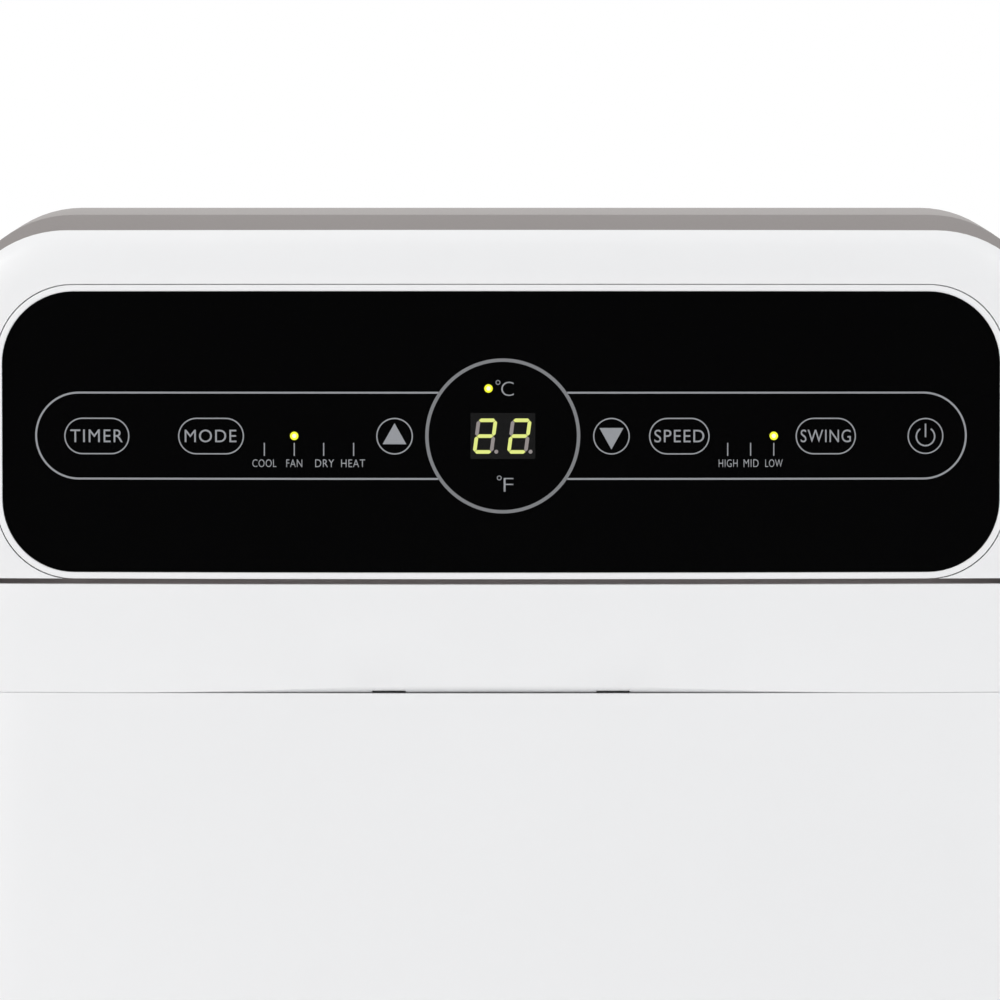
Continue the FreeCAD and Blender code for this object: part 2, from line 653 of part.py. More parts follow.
deckBlock = box("deckBlock", (-plateX, plateX), (seamY + 8, rearSeam - 4), (deckLevel - deckThick, deckLevel))
deckRecess = box("deckRecess", (-plateX + 6, plateX - 6), (0, rearSeam - 10), (deckLevel - 10, deckLevel + 5))
passX = -plateX + 57
passY = rearSeam - 144
deckPass = rod("deckPass", 14, 60, (passX, passY, deckLevel - 40))
keep("drain_deck", cut("drainDeck", deckBlock, deckRecess, deckPass))

# ---------------------------------------------------------------- coils
def coil(name, node, x, yFront, z):
    core = box(name + "Core", (x[0] + 2, x[1] - 2), (yFront, yFront + coilDepth), z)
    plates = [box(name + "Plate%d" % i, span, (yFront - 2, yFront + coilDepth + 2), z)
              for i, span in enumerate([(x[0], asDim(x[0]) + 2), (asDim(x[1]) - 2, x[1])])]
    return keep(node, fuse(name, core, *plates))


evapY = rearSeam - 104
evapZ = (deckLevel - 10, shellTop - 58)
evapX = (-plateX + 39, plateX - 31)
coil("evaporator", "evaporator_coil", evapX, evapY, evapZ)
condY = rearSeam - 72
condZ = (baseTop, scrollZ + scrollRadius)
condX = (-plateX + 47, plateX - 31)
coil("condenser", "condenser_coil", condX, condY, condZ)

ringTurn = FreeCAD.Rotation(FreeCAD.Vector(0, 0, 1), FreeCAD.Vector(1, 0, 0),
                            FreeCAD.Vector(0, 1, 0), "XYZ")
bends = []


def coilBends(name, x, yFront, zLow, zHigh, count):
    step = (asDim(zHigh) - zLow) / count
    for i in range(count):
        for j, share in enumerate((0.27, 0.73)):
            bend = doc.addObject("Part::Torus", "%sBend%d_%d" % (name, i, j))
            bend.Placement = FreeCAD.Placement(FreeCAD.Vector(), ringTurn)
            bind(bend, "Radius1", step / 4)
            bind(bend, "Radius2", 3.6)
            bend.Angle3 = 180
            moveTo(bend, x, yFront + coilDepth * share, zLow + step * (i + 0.5))
            bends.append(bend)


coilBends("evap", evapX[1], evapY, evapZ[0], evapZ[1], 5)
coilBends("cond", condX[1], condY, condZ[0], condZ[1], 5)

# ---------------------------------------------------------------- condenser air path
scrollY = (condY - 78, condY - 10)
scrollCan = rod("scrollCan", scrollRadius, scrollY[1] - scrollY[0], (scrollX, scrollY[0], scrollZ), "y")
ductLowZ = scrollZ + scrollRadius + 20
throat = box("scrollThroat", (scrollX + 4, scrollX + scrollRadius), scrollY, (scrollZ, ductLowZ))
scrollVoid = rod("scrollVoid", scrollRadius - 2.5, scrollY[1] - scrollY[0] - 5,
                 (scrollX, scrollY[0] + 2.5, scrollZ), "y")
throatVoid = box("throatVoid", (scrollX + 6.5, scrollX + scrollRadius - 2.5),
                 (scrollY[0] + 2.5, scrollY[1] - 2.5), (scrollZ, ductLowZ + 5))
inlet = rod("scrollInlet", scrollRadius - 36, 20, (scrollX, scrollY[1] - 10, scrollZ), "y")
shaftHole = rod("scrollShaftHole", 9, 20, (scrollX, scrollY[0] - 5, scrollZ), "y")
keep("condenser_fan_housing", cut("condenserFanHousing", fuse("scrollRaw", scrollCan, throat),
                                  scrollVoid, throatVoid, inlet, shaftHole))

wheelY = scrollY[0] + 8
wheelLength = scrollY[1] - scrollY[0] - 16
impellerRadius = scrollRadius - 18
impeller = bladedWheel("impellerBlades", "XZ_Plane", "Y_Axis", impellerRadius, 16, -wheelLength, wheelLength,
                       32, (scrollX, wheelY, scrollZ))
impellerBack = rod("impellerBack", impellerRadius, 2, (scrollX, wheelY, scrollZ), "y")
impellerRing = cut("impellerRing", rod("impellerRingOut", impellerRadius + 0.4, 3,
                                       (scrollX, wheelY + wheelLength - 3, scrollZ), "y"),
                   rod("impellerRingIn", impellerRadius - 4, 8, (scrollX, wheelY + wheelLength - 5, scrollZ), "y"))
impellerShaft = rod("impellerShaft", 4, 34, (scrollX, wheelY - 24, scrollZ), "y")
impellerHub = rod("impellerHub", 14, 20, (scrollX, wheelY, scrollZ), "y")
keep("condenser_fan_wheel", fuse("condenserFanWheel", impeller, impellerBack, impellerRing, impellerShaft,
                                 impellerHub))
motorDepth = 52
keep("condenser_fan_motor",
     cut("condenserFanMotor", rod("condMotorCan", 40, motorDepth, (scrollX, scrollY[0] - motorDepth, scrollZ), "y"),
         rod("condMotorBore", 4 + runFit, 30, (scrollX, scrollY[0] - 20, scrollZ), "y")))

exhaustX = (scrollX - 38, scrollX + scrollRadius)
exhaustY = (scrollY[0], rearSeam - 2)
exhaustZ = (ductLowZ, deckLevel - deckThick)
exhaustBox = box("exhaustBox", exhaustX, exhaustY, exhaustZ)
exhaustVoid = box("exhaustVoid", (exhaustX[0] + 2.5, exhaustX[1] - 2.5), (exhaustY[0] + 2.5, exhaustY[1] - 2.5),
                  (exhaustZ[0] + 2.5, exhaustZ[1] - 2.5))
exhaustThroat = box("exhaustThroat", (scrollX + 6.5, scrollX + scrollRadius - 2.5),
                    (scrollY[0] + 2.5, scrollY[1] - 2.5), (exhaustZ[0] - 5, exhaustZ[0] + 5))
exhaustHole = rod("exhaustHole", collarBore + 2, 5, (collarX, exhaustY[1] - 2.5, collarZ), "y")
keep("exhaust_duct", cut("exhaustDuct", exhaustBox, exhaustVoid, exhaustThroat, exhaustHole))

# ---------------------------------------------------------------- refrigeration
compX, compY = -plateX + 111, seamY + 84
compLow = baseTop - baseRise + wall + 9
shell = rod("compressorCan", shellRadius, 186, (compX, compY, compLow + 8))
domes = []
for i, z in enumerate((compLow + 12, compLow + 190)):
    dome = doc.addObject("Part::Ellipsoid", "compressorDome%d" % i)
    bind(dome, "Radius1", 24)
    bind(dome, "Radius2", shellRadius - 0.6)
    bind(dome, "Radius3", shellRadius - 0.6)
    moveTo(dome, compX, compY, z)
    domes.append(dome)
compTop = compLow + 214
domeTrim = box("compressorTrim", (compX - 90, compX + 90), (compY - 90, compY + 90), (compLow - 40, compLow))
footPlate = box("compressorFoot", (compX - 62, compX + 62), (compY - 62, compY + 62), (compLow, compLow + 3))
terminal = rod("compressorTerminal", 12, 14, (compX + 20, compY, compTop - 10))
keep("compressor", cut("compressorBody", fuse("compressorRaw", shell, footPlate, terminal, *domes), domeTrim))

grommets = []
for i, (dx, dy) in enumerate(((-50, -50), (50, -50), (-50, 50), (50, 50))):
    grommets.append(rod("grommet%d" % i, 9, 9, (compX + dx, compY + dy, compLow - 9)))
keep("compressor_grommets", group("compressorGrommets", *grommets))

tankX = compX - shellRadius - 25
tank = fuse("accumulator", rod("accumulatorCan", 19, 120, (tankX, compY, compLow + 60)),
            cone("accumulatorTop", (19, 6), 16, (tankX, compY, compLow + 180)),
            cone("accumulatorLow", (8, 19), 14, (tankX, compY, compLow + 46)),
            box("accumulatorBand", (tankX, compX - shellRadius), (compY - 4, compY + 4),
                (compLow + 100, compLow + 112)))

valveZ = compTop + 62
valve = fuse("reversingValveBody", rod("valveBody", 12, 90, (compX - 45, compY, valveZ), "x"),
             rod("valvePilot", 5, 70, (compX - 35, compY - 16, valveZ), "x"),
             box("valveBridge", (compX - 6, compX + 6), (compY - 18, compY), (valveZ - 4, valveZ + 4)))


def pipeRun(name, points):
    runs = []
    for i in range(len(points) - 1):
        a, b = points[i], points[i + 1]
        gaps = [asDim(q) - p for p, q in zip(a, b)]
        k = max(range(3), key=lambda n: abs(gaps[n].value))
        start = a if gaps[k].value > 0 else b
        length = gaps[k] if gaps[k].value > 0 else -gaps[k]
        runs.append(rod("%sRun%d" % (name, i), pipeRadius, length, start, "xyz"[k]))
        if i:
            elbow = doc.addObject("Part::Sphere", "%sElbow%d" % (name, i))
            bind(elbow, "Radius", pipeRadius)
            moveTo(elbow, *a)
            runs.append(elbow)
    return fuse(name, *runs) if len(runs) > 1 else runs[0]


liquidZ = condZ[1] - 32
pipes = [
    pipeRun("dischargePipe", [(compX, compY, compTop), (compX, compY, valveZ - 11)]),
    pipeRun("suctionPipe", [(tankX, compY, compLow + 195), (tankX, compY, valveZ + 34),
                            (compX - 20, compY, valveZ + 34), (compX - 20, compY, valveZ + 11)]),
    pipeRun("gasPipe", [(compX + 20, compY, valveZ + 11), (compX + 20, compY, valveZ + 22),
                        (compX + 20, compY + 70, valveZ + 22), (passX, compY + 70, valveZ + 22),
                        (passX, passY, valveZ + 22), (passX, passY, deckLevel + 30),
                        (passX, evapY - 12, deckLevel + 30), (evapX[0] - 20, evapY - 12, deckLevel + 30),
                        (evapX[0] - 20, evapY + 20, deckLevel + 30), (evapX[0], evapY + 20, deckLevel + 30)]),
    pipeRun("liquidPipe", [(condX[0], condY + 20, liquidZ), (condX[0] - 24, condY + 20, liquidZ),
                           (condX[0] - 24, condY - 20, liquidZ), (condX[0] - 24, condY - 20, liquidZ + 90),
                           (condX[0] + 24, condY - 20, liquidZ + 90)]),
]
keep("refrigerant_circuit", fuse("refrigerantCircuit", tank, valve, *(pipes + bends)))

# ---------------------------------------------------------------- electrics
boxX = (plateX - 217, plateX - 17)
boxY = (seamY + 8, seamY + 62)
boxZ = (deckLevel - deckThick - 118, deckLevel - deckThick)
electricsOuter = box("electricsOuter", boxX, boxY, boxZ)
electricsInner = box("electricsInner", (boxX[0] + 2, boxX[1] - 2), (boxY[0] + 2, boxY[1] + 5),
                     (boxZ[0] + 2, boxZ[1] - 2))
keep("electrics_box", cut("electricsBox", electricsOuter, electricsInner))
mainBoard = box("mainBoard", (boxX[0] + 8, boxX[1] - 70), (boxY[0] + 2, boxY[0] + 8), (boxZ[0] + 8, boxZ[1] - 8))
chips = [box("boardPart%d" % i, (boxX[0] + x, boxX[0] + x + a), (boxY[0] + 8, boxY[0] + 8 + d),
             (boxZ[0] + z, boxZ[0] + z + b))
         for i, (x, z, a, b, d) in enumerate(((16, 16, 34, 30, 22), (58, 20, 18, 18, 16), (84, 18, 26, 40, 26),
                                              (20, 62, 22, 30, 14), (56, 66, 48, 22, 10)))]
capacitor = fuse("runCapacitor", rod("capacitorCan", 20, 84, (boxX[1] - 32, boxY[0] + 24, boxZ[0] + 2)),
                 rod("capacitorTabs", 8, 90, (boxX[1] - 32, boxY[0] + 24, boxZ[0] + 2)))
keep("main_board", group("mainBoardAll", fuse("boardStuffed", mainBoard, *chips), capacitor))

# ---------------------------------------------------------------- grey case
def caseLoft(name, inset, zLow, front, back, extend):
    body = newBody(name)
    x = half - inset
    sections = [(seamY, shellTop, shellCorner), (seamY + crownRun, shellTop + crownStep, shellCorner),
                (seamY + crownRun + crestRun, height, crestCorner), (back, height, crestCorner)]
    outlines = []
    for i, (y, top, corner) in enumerate(sections):
        shift = -extend if i == 0 else (extend if i == 3 else 0)
        path = rounded([(-x, zLow, 0), (x, zLow, 0), (x, top - inset, corner - inset),
                        (-x, top - inset, corner - inset)])
        outlines.append(sketch(body, "%sOutline%d" % (name, i), "XZ_Plane", -(asDim(y) + shift), path))
    loft = body.newObject("PartDesign::AdditiveLoft", name + "Loft")
    loft.Profile = outlines[0]
    loft.Sections = outlines[1:]
    loft.Ruled = True
    return body


coverLow = height - 120
coverOuter = caseLoft("coverOuter", asDim(0), coverLow, seamY, rearSeam, 0)
coverInner = caseLoft("coverInner", wall, coverLow - 5, seamY, rearSeam, 1)
keep("top_cover", cut("topCover", coverOuter, coverInner))

for side, tag in ((-1, "left"), (1, "right")):
    def across(a, b):
        return (half - b, half - a) if side > 0 else (-half + a, -half + b)
    skin = box("sideSkin" + tag, across(0, wall), (seamY, rearSeam), (baseTop, coverLow))
    hole = box("sideHole" + tag, across(-5, wall + 5), (cupY[0] + 2, cupY[1] - 2), (cupZ[0] + 2, cupZ[1] - 2))
    cupRaw = box("sideCup" + tag, across(0, cupDepth), cupY, cupZ)
    cupVoid = box("sideCupVoid" + tag, across(-5, cupDepth - 2), (cupY[0] + 2, cupY[1] - 2),
                  (cupZ[0] + 2, cupZ[1] - 2))
    ribs = [box("sideRib%s%d" % (tag, i), across(wall, sideInset - sheetMetal), (y, y + 20), (z, z + 3))
            for i, (y, z) in enumerate(((seamY + 30, baseTop + 58), (rearSeam - 54, baseTop + 58),
                                      (seamY + 30, height - 240), (rearSeam - 54, height - 240)))]
    ribs.append(box("sideLip" + tag, across(0, 11), (seamY, rearSeam), (baseTop, baseTop + wall)))
    raw = fuse("sideRaw" + tag, cut("sideSkinCut" + tag, skin, hole), cut("sideCupCut" + tag, cupRaw, cupVoid),
               *ribs)
    keep("side_panel_" + tag, raw)

# ---------------------------------------------------------------- rear panel, grilles and filters
rearBody = prism("rearOuter", (-half, half), (baseTop, height), (asDim(0), crestCorner), (rearSeam, rearFace))
doc.recompute()
rearTip = rearBody.Tip
rounding = []
for number, item in enumerate(rearTip.Shape.Edges, 1):
    bound = item.BoundBox
    if bound.YMin > rearFace.value - 0.01 and bound.ZMax > baseTop.value + 1:
        rounding.append("Edge%d" % number)
rearFillet = rearBody.newObject("PartDesign::Fillet", "rearFillet")
rearFillet.Base = (rearTip, rounding)
bind(rearFillet, "Radius", rearRim - wall)
rearVoid = prism("rearVoid", (-half + wall, half - wall), (baseTop + wall, height - wall),
                 (asDim(0), crestCorner - wall), (rearSeam - 5, rearFace - wall))
grilleX = (-grilleWidth / 2, grilleWidth / 2)
upperZ = (deckLevel + 6, shellTop - 58)
lowerZ = (baseTop + 20, condZ[1] - 10)
upperHole = prism("upperHole", grilleX, upperZ, (asDim(12), asDim(12)), (rearSeam, rearFace + 5))
lowerHole = prism("lowerHole", grilleX, lowerZ, (asDim(12), asDim(12)), (rearSeam, rearFace + 5))
collarHole = rod("rearCollarHole", collarRadius + fit, 20, (collarX, rearFace - 10, collarZ), "y")
glandX, glandZ = -half + 34.5, collarZ - 24
glandHole = rod("rearGlandHole", 9, 20, (glandX, rearFace - 10, glandZ), "y")
screwX = half - 23.5
screwSpots = [(x * turn, z) for x, z in ((screwX, baseTop + 38), (screwX, lowerZ[1] + 18),
                                         (screwX, deckLevel + 29), (asDim(120), height - 30)) for turn in (-1, 1)]
screwHoles = [rod("rearScrewHole%d" % i, 4.2, 2, (x, rearFace - 1.4, z), "y")
              for i, (x, z) in enumerate(screwSpots)]
keep("rear_panel", cut("rearPanel", rearBody, rearVoid, upperHole, lowerHole, collarHole, glandHole,
                       *screwHoles))
screws = []
for i, (x, z) in enumerate(screwSpots):
    screws.append(rod("screwHead%d" % i, 4, 1.4, (x, rearFace - 1.4, z), "y"))
keep("rear_screws", group("rearScrews", *screws))


def intake(name, tag, z):
    x = (grilleX[0] + fit, grilleX[1] - fit)
    zIn = (z[0] + fit, z[1] - fit)
    ring = cut(name + "Ring", prism(name + "Frame", x, zIn, (asDim(12), asDim(12)), (rearSeam, rearFace)),
               prism(name + "Hollow", (x[0] + 8, x[1] - 8), (zIn[0] + 8, zIn[1] - 8), (asDim(6), asDim(6)),
                     (rearSeam - 5, rearFace + 5)))
    span = zIn[1] - zIn[0] - 16
    count = int((span.value - slatThick.value) / slatPitch.value)
    step = span / (count + 1)
    slats = [box("%sSlat%d" % (name, i), (x[0] + 7, x[1] - 7), (rearFace - 7, rearFace - 0.6),
                 (zIn[0] + 8 + step * (i + 1) - slatThick / 2, zIn[0] + 8 + step * (i + 1) + slatThick / 2))
             for i in range(count)]
    mullions = [box("%sMullion%d" % (name, i), (share - 1.5, share + 1.5), (rearSeam + 0.5, rearFace - 1.2),
                    (zIn[0] + 7, zIn[1] - 7)) for i, share in enumerate((-86, 0, 86))]
    keep("%s_grille" % tag, fuse(name + "Grille", ring, *(slats + mullions)))
    frame = cut(name + "FilterFrame",
                prism(name + "FilterOut", x, zIn, (asDim(12), asDim(12)), (rearSeam - 4, rearSeam)),
                prism(name + "FilterIn", (x[0] + 6, x[1] - 6), (zIn[0] + 6, zIn[1] - 6), (asDim(6), asDim(6)),
                      (rearSeam - 6, rearSeam + 2)))
    mesh = box(name + "FilterMesh", (x[0] + 5, x[1] - 5), (rearSeam - 2.4, rearSeam - 1.6),
               (zIn[0] + 5, zIn[1] - 5))
    keep("%s_filter" % tag, fuse(name + "Filter", frame, mesh))


intake("upperIntake", "upper", upperZ)
intake("lowerIntake", "lower", lowerZ)

collarTube = rod("collarTube", collarRadius, depth / 2 - exhaustY[1], (collarX, exhaustY[1], collarZ), "y")
collarFlange = rod("collarFlange", collarRadius + 8, 3, (collarX, rearFace, collarZ), "y")
collarVoid = rod("collarVoid", collarBore, 40, (collarX, exhaustY[1] - 5, collarZ), "y")
lugs = [box("collarLug%d" % i, (collarX + dx - 6, collarX + dx + 6), (rearFace, rearFace + 8),
            (collarZ + dz - 6, collarZ + dz + 6)) for i, (dx, dz) in enumerate(((-72, 0), (72, 0)))]
keep("exhaust_collar", cut("exhaustCollar", fuse("collarRaw", collarTube, collarFlange, *lugs), collarVoid))

keep("cord_gland", cut("cordGland",
                       fuse("glandRaw", rod("glandBody", 9 - 0.05, 18, (glandX, rearFace - 8, glandZ), "y"),
                            rod("glandFlange", 13, 3, (glandX, rearFace, glandZ), "y")),
                       rod("glandBore", 4.2, 30, (glandX, rearFace - 12, glandZ), "y")))
hooks = []
for i, z in enumerate((glandZ - 100, glandZ + 70)):
    turn = -1 if i == 0 else 1
    stalk = box("hookStalk%d" % i, (glandX - 10, glandX + 10), (rearFace, rearFace + 11), (z - 3, z + 3))
    lip = box("hookLip%d" % i, (glandX - 10, glandX + 10), (rearFace + 8, rearFace + 11),
              (z - 3, z + 14) if turn > 0 else (z - 14, z + 3))
    hooks.append(fuse("cordHook%d" % i, stalk, lip))
keep("cord_hooks", group("cordHooks", *hooks))

# ---------------------------------------------------------------- base tray, drain and casters
def basePlan(name, inset, corner, z):
    body = newBody(name)
    x = half - plinthSet - inset
    back = rearFace - plinthSet - inset
    outline = sketch(body, name + "Outline", "XY_Plane", z[0],
                     rounded([(-x, frontY + plinthSet, corner), (x, frontY + plinthSet, corner), (x, back, corner),
                              (-x, back, corner)]))
    pad(body, name + "Pad", outline, asDim(z[1]) - z[0])
    return common(name + "Bowed", body, bowed(name + "Face", plinthSet + inset, casterRise - 5, baseTop + 10))


baseBlank = basePlan("baseOuter", asDim(0), plinthCorner, (casterRise, baseTop))
baseVoid = basePlan("baseVoid", wall, plinthCorner - wall, (casterRise + wall, baseTop + 5))
baseBack = rearFace - plinthSet
casterXs = {"left": -half + casterInsetX, "right": half - casterInsetX}
casterYs = {"front": frontY + casterInsetY, "rear": rearFace - casterInsetY}
sockets = []
stems = []
for sideName, x in casterXs.items():
    for endName, y in casterYs.items():
        tag = endName + "_" + sideName
        sockets.append(rod("socket" + tag, 11, baseRise, (x, y, casterRise)))
        stems.append(rod("stemHole" + tag, stemRadius + runFit, baseRise - 3, (x, y, casterRise - 1)))
drainX = -120
drainZ = casterRise + baseRise / 2
spout = fuse("drainSpout", rod("drainTube", 5.5, plinthSet + 10, (drainX, baseBack - 2, drainZ), "y"),
             rod("drainFlange", 7.5, 2, (drainX, rearFace - 2, drainZ), "y"))
bore = rod("drainBore", 3.5, 40, (drainX, rearFace - 20, drainZ), "y")
keep("base_tray", cut("baseTray", fuse("baseRaw", cut("baseShell", baseBlank, baseVoid), spout, *sockets), bore,
                      *stems))
keep("drain_cap", cut("drainCap", rod("capOuter", 7.5, 11, (drainX, rearFace, drainZ), "y"),
                      rod("capInner", 5.5 + runFit, plinthSet + 4.2, (drainX, rearFace - 1, drainZ), "y")))

for sideName, x in casterXs.items():
    for endName, y in casterYs.items():
        tag = endName + "_" + sideName
        axleY = y + casterTrail
        armX = wheelWidth / 2 + 1
        crown = rod("forkCrown" + tag, 14, 2.4, (x, y, casterRise - fit - 2.4))
        cap = box("forkCap" + tag, (x - armX - 3, x + armX + 3), (y - 8, axleY + 8),
                  (wheelRadius * 2 + 1.2, casterRise - fit))
        arms = [box("forkArm%s%d" % (tag, i), span, (axleY - 8, axleY + 8),
                    (wheelRadius - 6, casterRise - fit))
                for i, span in enumerate(((x - armX - 3, x - armX), (x + armX, x + armX + 3)))]
        stem = rod("forkStem" + tag, stemRadius, baseRise - 5, (x, y, casterRise - 1))
        bore = rod("forkBore" + tag, axleRadius + runFit, armX * 2 + 12, (x - armX - 6, axleY, wheelRadius), "x")
        keep("caster_fork_" + tag, cut("casterFork" + tag, fuse("forkRaw" + tag, crown, cap, stem, *arms), bore))
        tread = rod("wheelTread" + tag, wheelRadius, wheelWidth, (x - wheelWidth / 2, axleY, wheelRadius), "x")
        groove = cut("wheelGroove" + tag,
                     rod("wheelGrooveOut" + tag, wheelRadius + 1, 2, (x - 1, axleY, wheelRadius), "x"),
                     rod("wheelGrooveIn" + tag, wheelRadius - 5, 4, (x - 2, axleY, wheelRadius), "x"))
        axle = rod("wheelAxle" + tag, axleRadius, armX * 2 + 6, (x - armX - 3, axleY, wheelRadius), "x")
        keep("caster_wheel_" + tag, fuse("casterWheel" + tag, cut("wheelCut" + tag, tread, groove), axle))

# ---------------------------------------------------------------- check and write
doc.recompute()
for thing in doc.Objects:
    if "Invalid" in thing.State or "Error" in thing.State:
        raise RuntimeError("failed: %s %s" % (thing.Name, thing.State))
bad = [node for node, thing in nodes.items()
       if thing.Shape.isNull() or not thing.Shape.isValid() or not thing.Shape.Solids]
if bad:
    raise RuntimeError("bad shapes: %s" % ", ".join(bad))
os.makedirs("parts", exist_ok=True)
for node, thing in nodes.items():
    thing.Shape.exportStep("parts/%s.step" % node)
print("%d nodes written" % len(nodes))
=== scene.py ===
import json
import math
import bpy
import bmesh
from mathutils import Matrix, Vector

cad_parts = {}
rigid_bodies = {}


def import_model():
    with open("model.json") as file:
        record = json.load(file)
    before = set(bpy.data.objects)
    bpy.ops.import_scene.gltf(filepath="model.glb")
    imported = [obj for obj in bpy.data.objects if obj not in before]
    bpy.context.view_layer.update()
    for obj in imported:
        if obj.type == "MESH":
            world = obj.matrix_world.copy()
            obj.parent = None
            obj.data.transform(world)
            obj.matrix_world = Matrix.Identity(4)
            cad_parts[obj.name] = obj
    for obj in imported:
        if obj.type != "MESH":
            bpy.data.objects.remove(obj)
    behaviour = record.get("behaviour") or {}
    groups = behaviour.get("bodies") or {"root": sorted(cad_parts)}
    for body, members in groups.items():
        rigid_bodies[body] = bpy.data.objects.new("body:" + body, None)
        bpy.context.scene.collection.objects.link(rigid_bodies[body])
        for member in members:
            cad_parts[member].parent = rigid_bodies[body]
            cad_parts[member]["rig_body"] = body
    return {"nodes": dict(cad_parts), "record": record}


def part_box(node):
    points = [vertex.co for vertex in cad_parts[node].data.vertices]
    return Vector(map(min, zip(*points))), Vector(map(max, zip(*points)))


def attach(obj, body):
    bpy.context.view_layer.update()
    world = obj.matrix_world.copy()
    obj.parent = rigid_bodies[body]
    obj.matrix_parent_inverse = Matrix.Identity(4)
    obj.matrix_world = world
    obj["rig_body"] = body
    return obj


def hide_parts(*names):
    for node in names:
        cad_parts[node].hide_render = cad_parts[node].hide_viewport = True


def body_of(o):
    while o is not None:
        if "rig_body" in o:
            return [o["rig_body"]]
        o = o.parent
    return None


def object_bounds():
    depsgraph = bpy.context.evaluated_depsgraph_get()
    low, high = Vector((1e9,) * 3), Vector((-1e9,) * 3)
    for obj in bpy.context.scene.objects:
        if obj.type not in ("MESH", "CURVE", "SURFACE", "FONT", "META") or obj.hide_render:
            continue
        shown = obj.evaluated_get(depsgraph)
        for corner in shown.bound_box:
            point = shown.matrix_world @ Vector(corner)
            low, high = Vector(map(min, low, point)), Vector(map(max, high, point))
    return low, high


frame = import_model()
nodes = frame["nodes"]
cadBox = [list(corner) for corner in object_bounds()]
slotOf = {part["node"]: part["material_slot"] for part in frame["record"]["subparts"]}
mm = 0.001
print("frame loaded, %d nodes" % len(nodes))


# ---- shader groups shared by the finishes
def startGroup(name, inputs, outputs):
    group = bpy.data.node_groups.new(name, "ShaderNodeTree")
    for label, kind, value in inputs:
        socket = group.interface.new_socket(name=label, in_out="INPUT", socket_type="NodeSocket" + kind)
        if value is not None:
            socket.default_value = value
    for label, kind in outputs:
        group.interface.new_socket(name=label, in_out="OUTPUT", socket_type="NodeSocket" + kind)
    return group, group.nodes.new("NodeGroupInput").outputs, group.nodes.new("NodeGroupOutput").inputs


def addNode(tree, kind, links=(), **settings):
    node = tree.nodes.new(kind)
    for key, value in settings.items():
        setattr(node, key, value)
    for socket, source in links:
        target = node.inputs[socket]
        if isinstance(source, bpy.types.NodeSocket):
            tree.links.new(source, target)
        else:
            target.default_value = source
    return node


def mathNode(tree, operation, *values, **settings):
    return addNode(tree, "ShaderNodeMath", enumerate(values), operation=operation, **settings).outputs[0]


# shares and limits inside the shared patterns
patterns = {"driftGain": 4.0, "pitScale": 0.45, "pitDepth": 0.6, "dustSlope": (0.3, 1.0),
            "scuffPatch": (0.42, 0.7)}


def buildToneDrift():
    # slow drift of shade over a moulding or a sheet
    group, given, sink = startGroup("toneDrift",
                                    [("Vector", "Vector", None), ("Color", "Color", (1, 1, 1, 1)),
                                     ("Amount", "Float", 0.03), ("Scale", "Float", 9.0)],
                                    [("Color", "Color"), ("Shift", "Float")])
    cloud = addNode(group, "ShaderNodeTexNoise",
                    [("Vector", given["Vector"]), ("Scale", given["Scale"]), ("Detail", 3.0),
                     ("Roughness", 0.55)])
    centred = mathNode(group, "SUBTRACT", cloud.outputs["Fac"], 0.5)
    swing = mathNode(group, "MULTIPLY", centred, given["Amount"])
    shade = mathNode(group, "MULTIPLY_ADD", swing, patterns["driftGain"], 1.0)
    tinted = addNode(group, "ShaderNodeVectorMath", [(0, given["Color"]), ("Scale", shade)],
                     operation="SCALE")
    group.links.new(tinted.outputs[0], sink["Color"])
    group.links.new(centred, sink["Shift"])
    return group


def buildMouldedGrain():
    # spark-eroded mould texture, as fine pits and rises
    group, given, sink = startGroup("mouldedGrain", [("Vector", "Vector", None), ("Scale", "Float", 1500.0)],
                                    [("Height", "Float"), ("Speckle", "Float")])
    cloud = addNode(group, "ShaderNodeTexNoise",
                    [("Vector", given["Vector"]), ("Scale", given["Scale"]), ("Detail", 2.0)]).outputs["Fac"]
    wider = mathNode(group, "MULTIPLY", given["Scale"], patterns["pitScale"])
    pits = addNode(group, "ShaderNodeTexVoronoi", [("Vector", given["Vector"]), ("Scale", wider)],
                   feature="F1")
    height = mathNode(group, "MULTIPLY_ADD", pits.outputs["Distance"], patterns["pitDepth"], cloud)
    group.links.new(height, sink["Height"])
    group.links.new(cloud, sink["Speckle"])
    return group


def buildSettledDust():
    # pale dust on what faces up, broken by noise
    group, given, sink = startGroup("settledDust", [("Vector", "Vector", None), ("Amount", "Float", 0.2)],
                                    [("Mask", "Float")])
    facing = addNode(group, "ShaderNodeNewGeometry")
    parts = addNode(group, "ShaderNodeSeparateXYZ", [(0, facing.outputs["Normal"])])
    upward = addNode(group, "ShaderNodeMapRange",
                     [("Value", parts.outputs["Z"]), ("From Min", patterns["dustSlope"][0]),
                      ("From Max", patterns["dustSlope"][1])])
    cloud = addNode(group, "ShaderNodeTexNoise",
                    [("Vector", given["Vector"]), ("Scale", 70.0), ("Detail", 5.0), ("Roughness", 0.7)])
    broken = mathNode(group, "MULTIPLY", upward.outputs[0], cloud.outputs["Fac"])
    mask = mathNode(group, "MULTIPLY", broken, given["Amount"], use_clamp=True)
    group.links.new(mask, sink["Mask"])
    return group


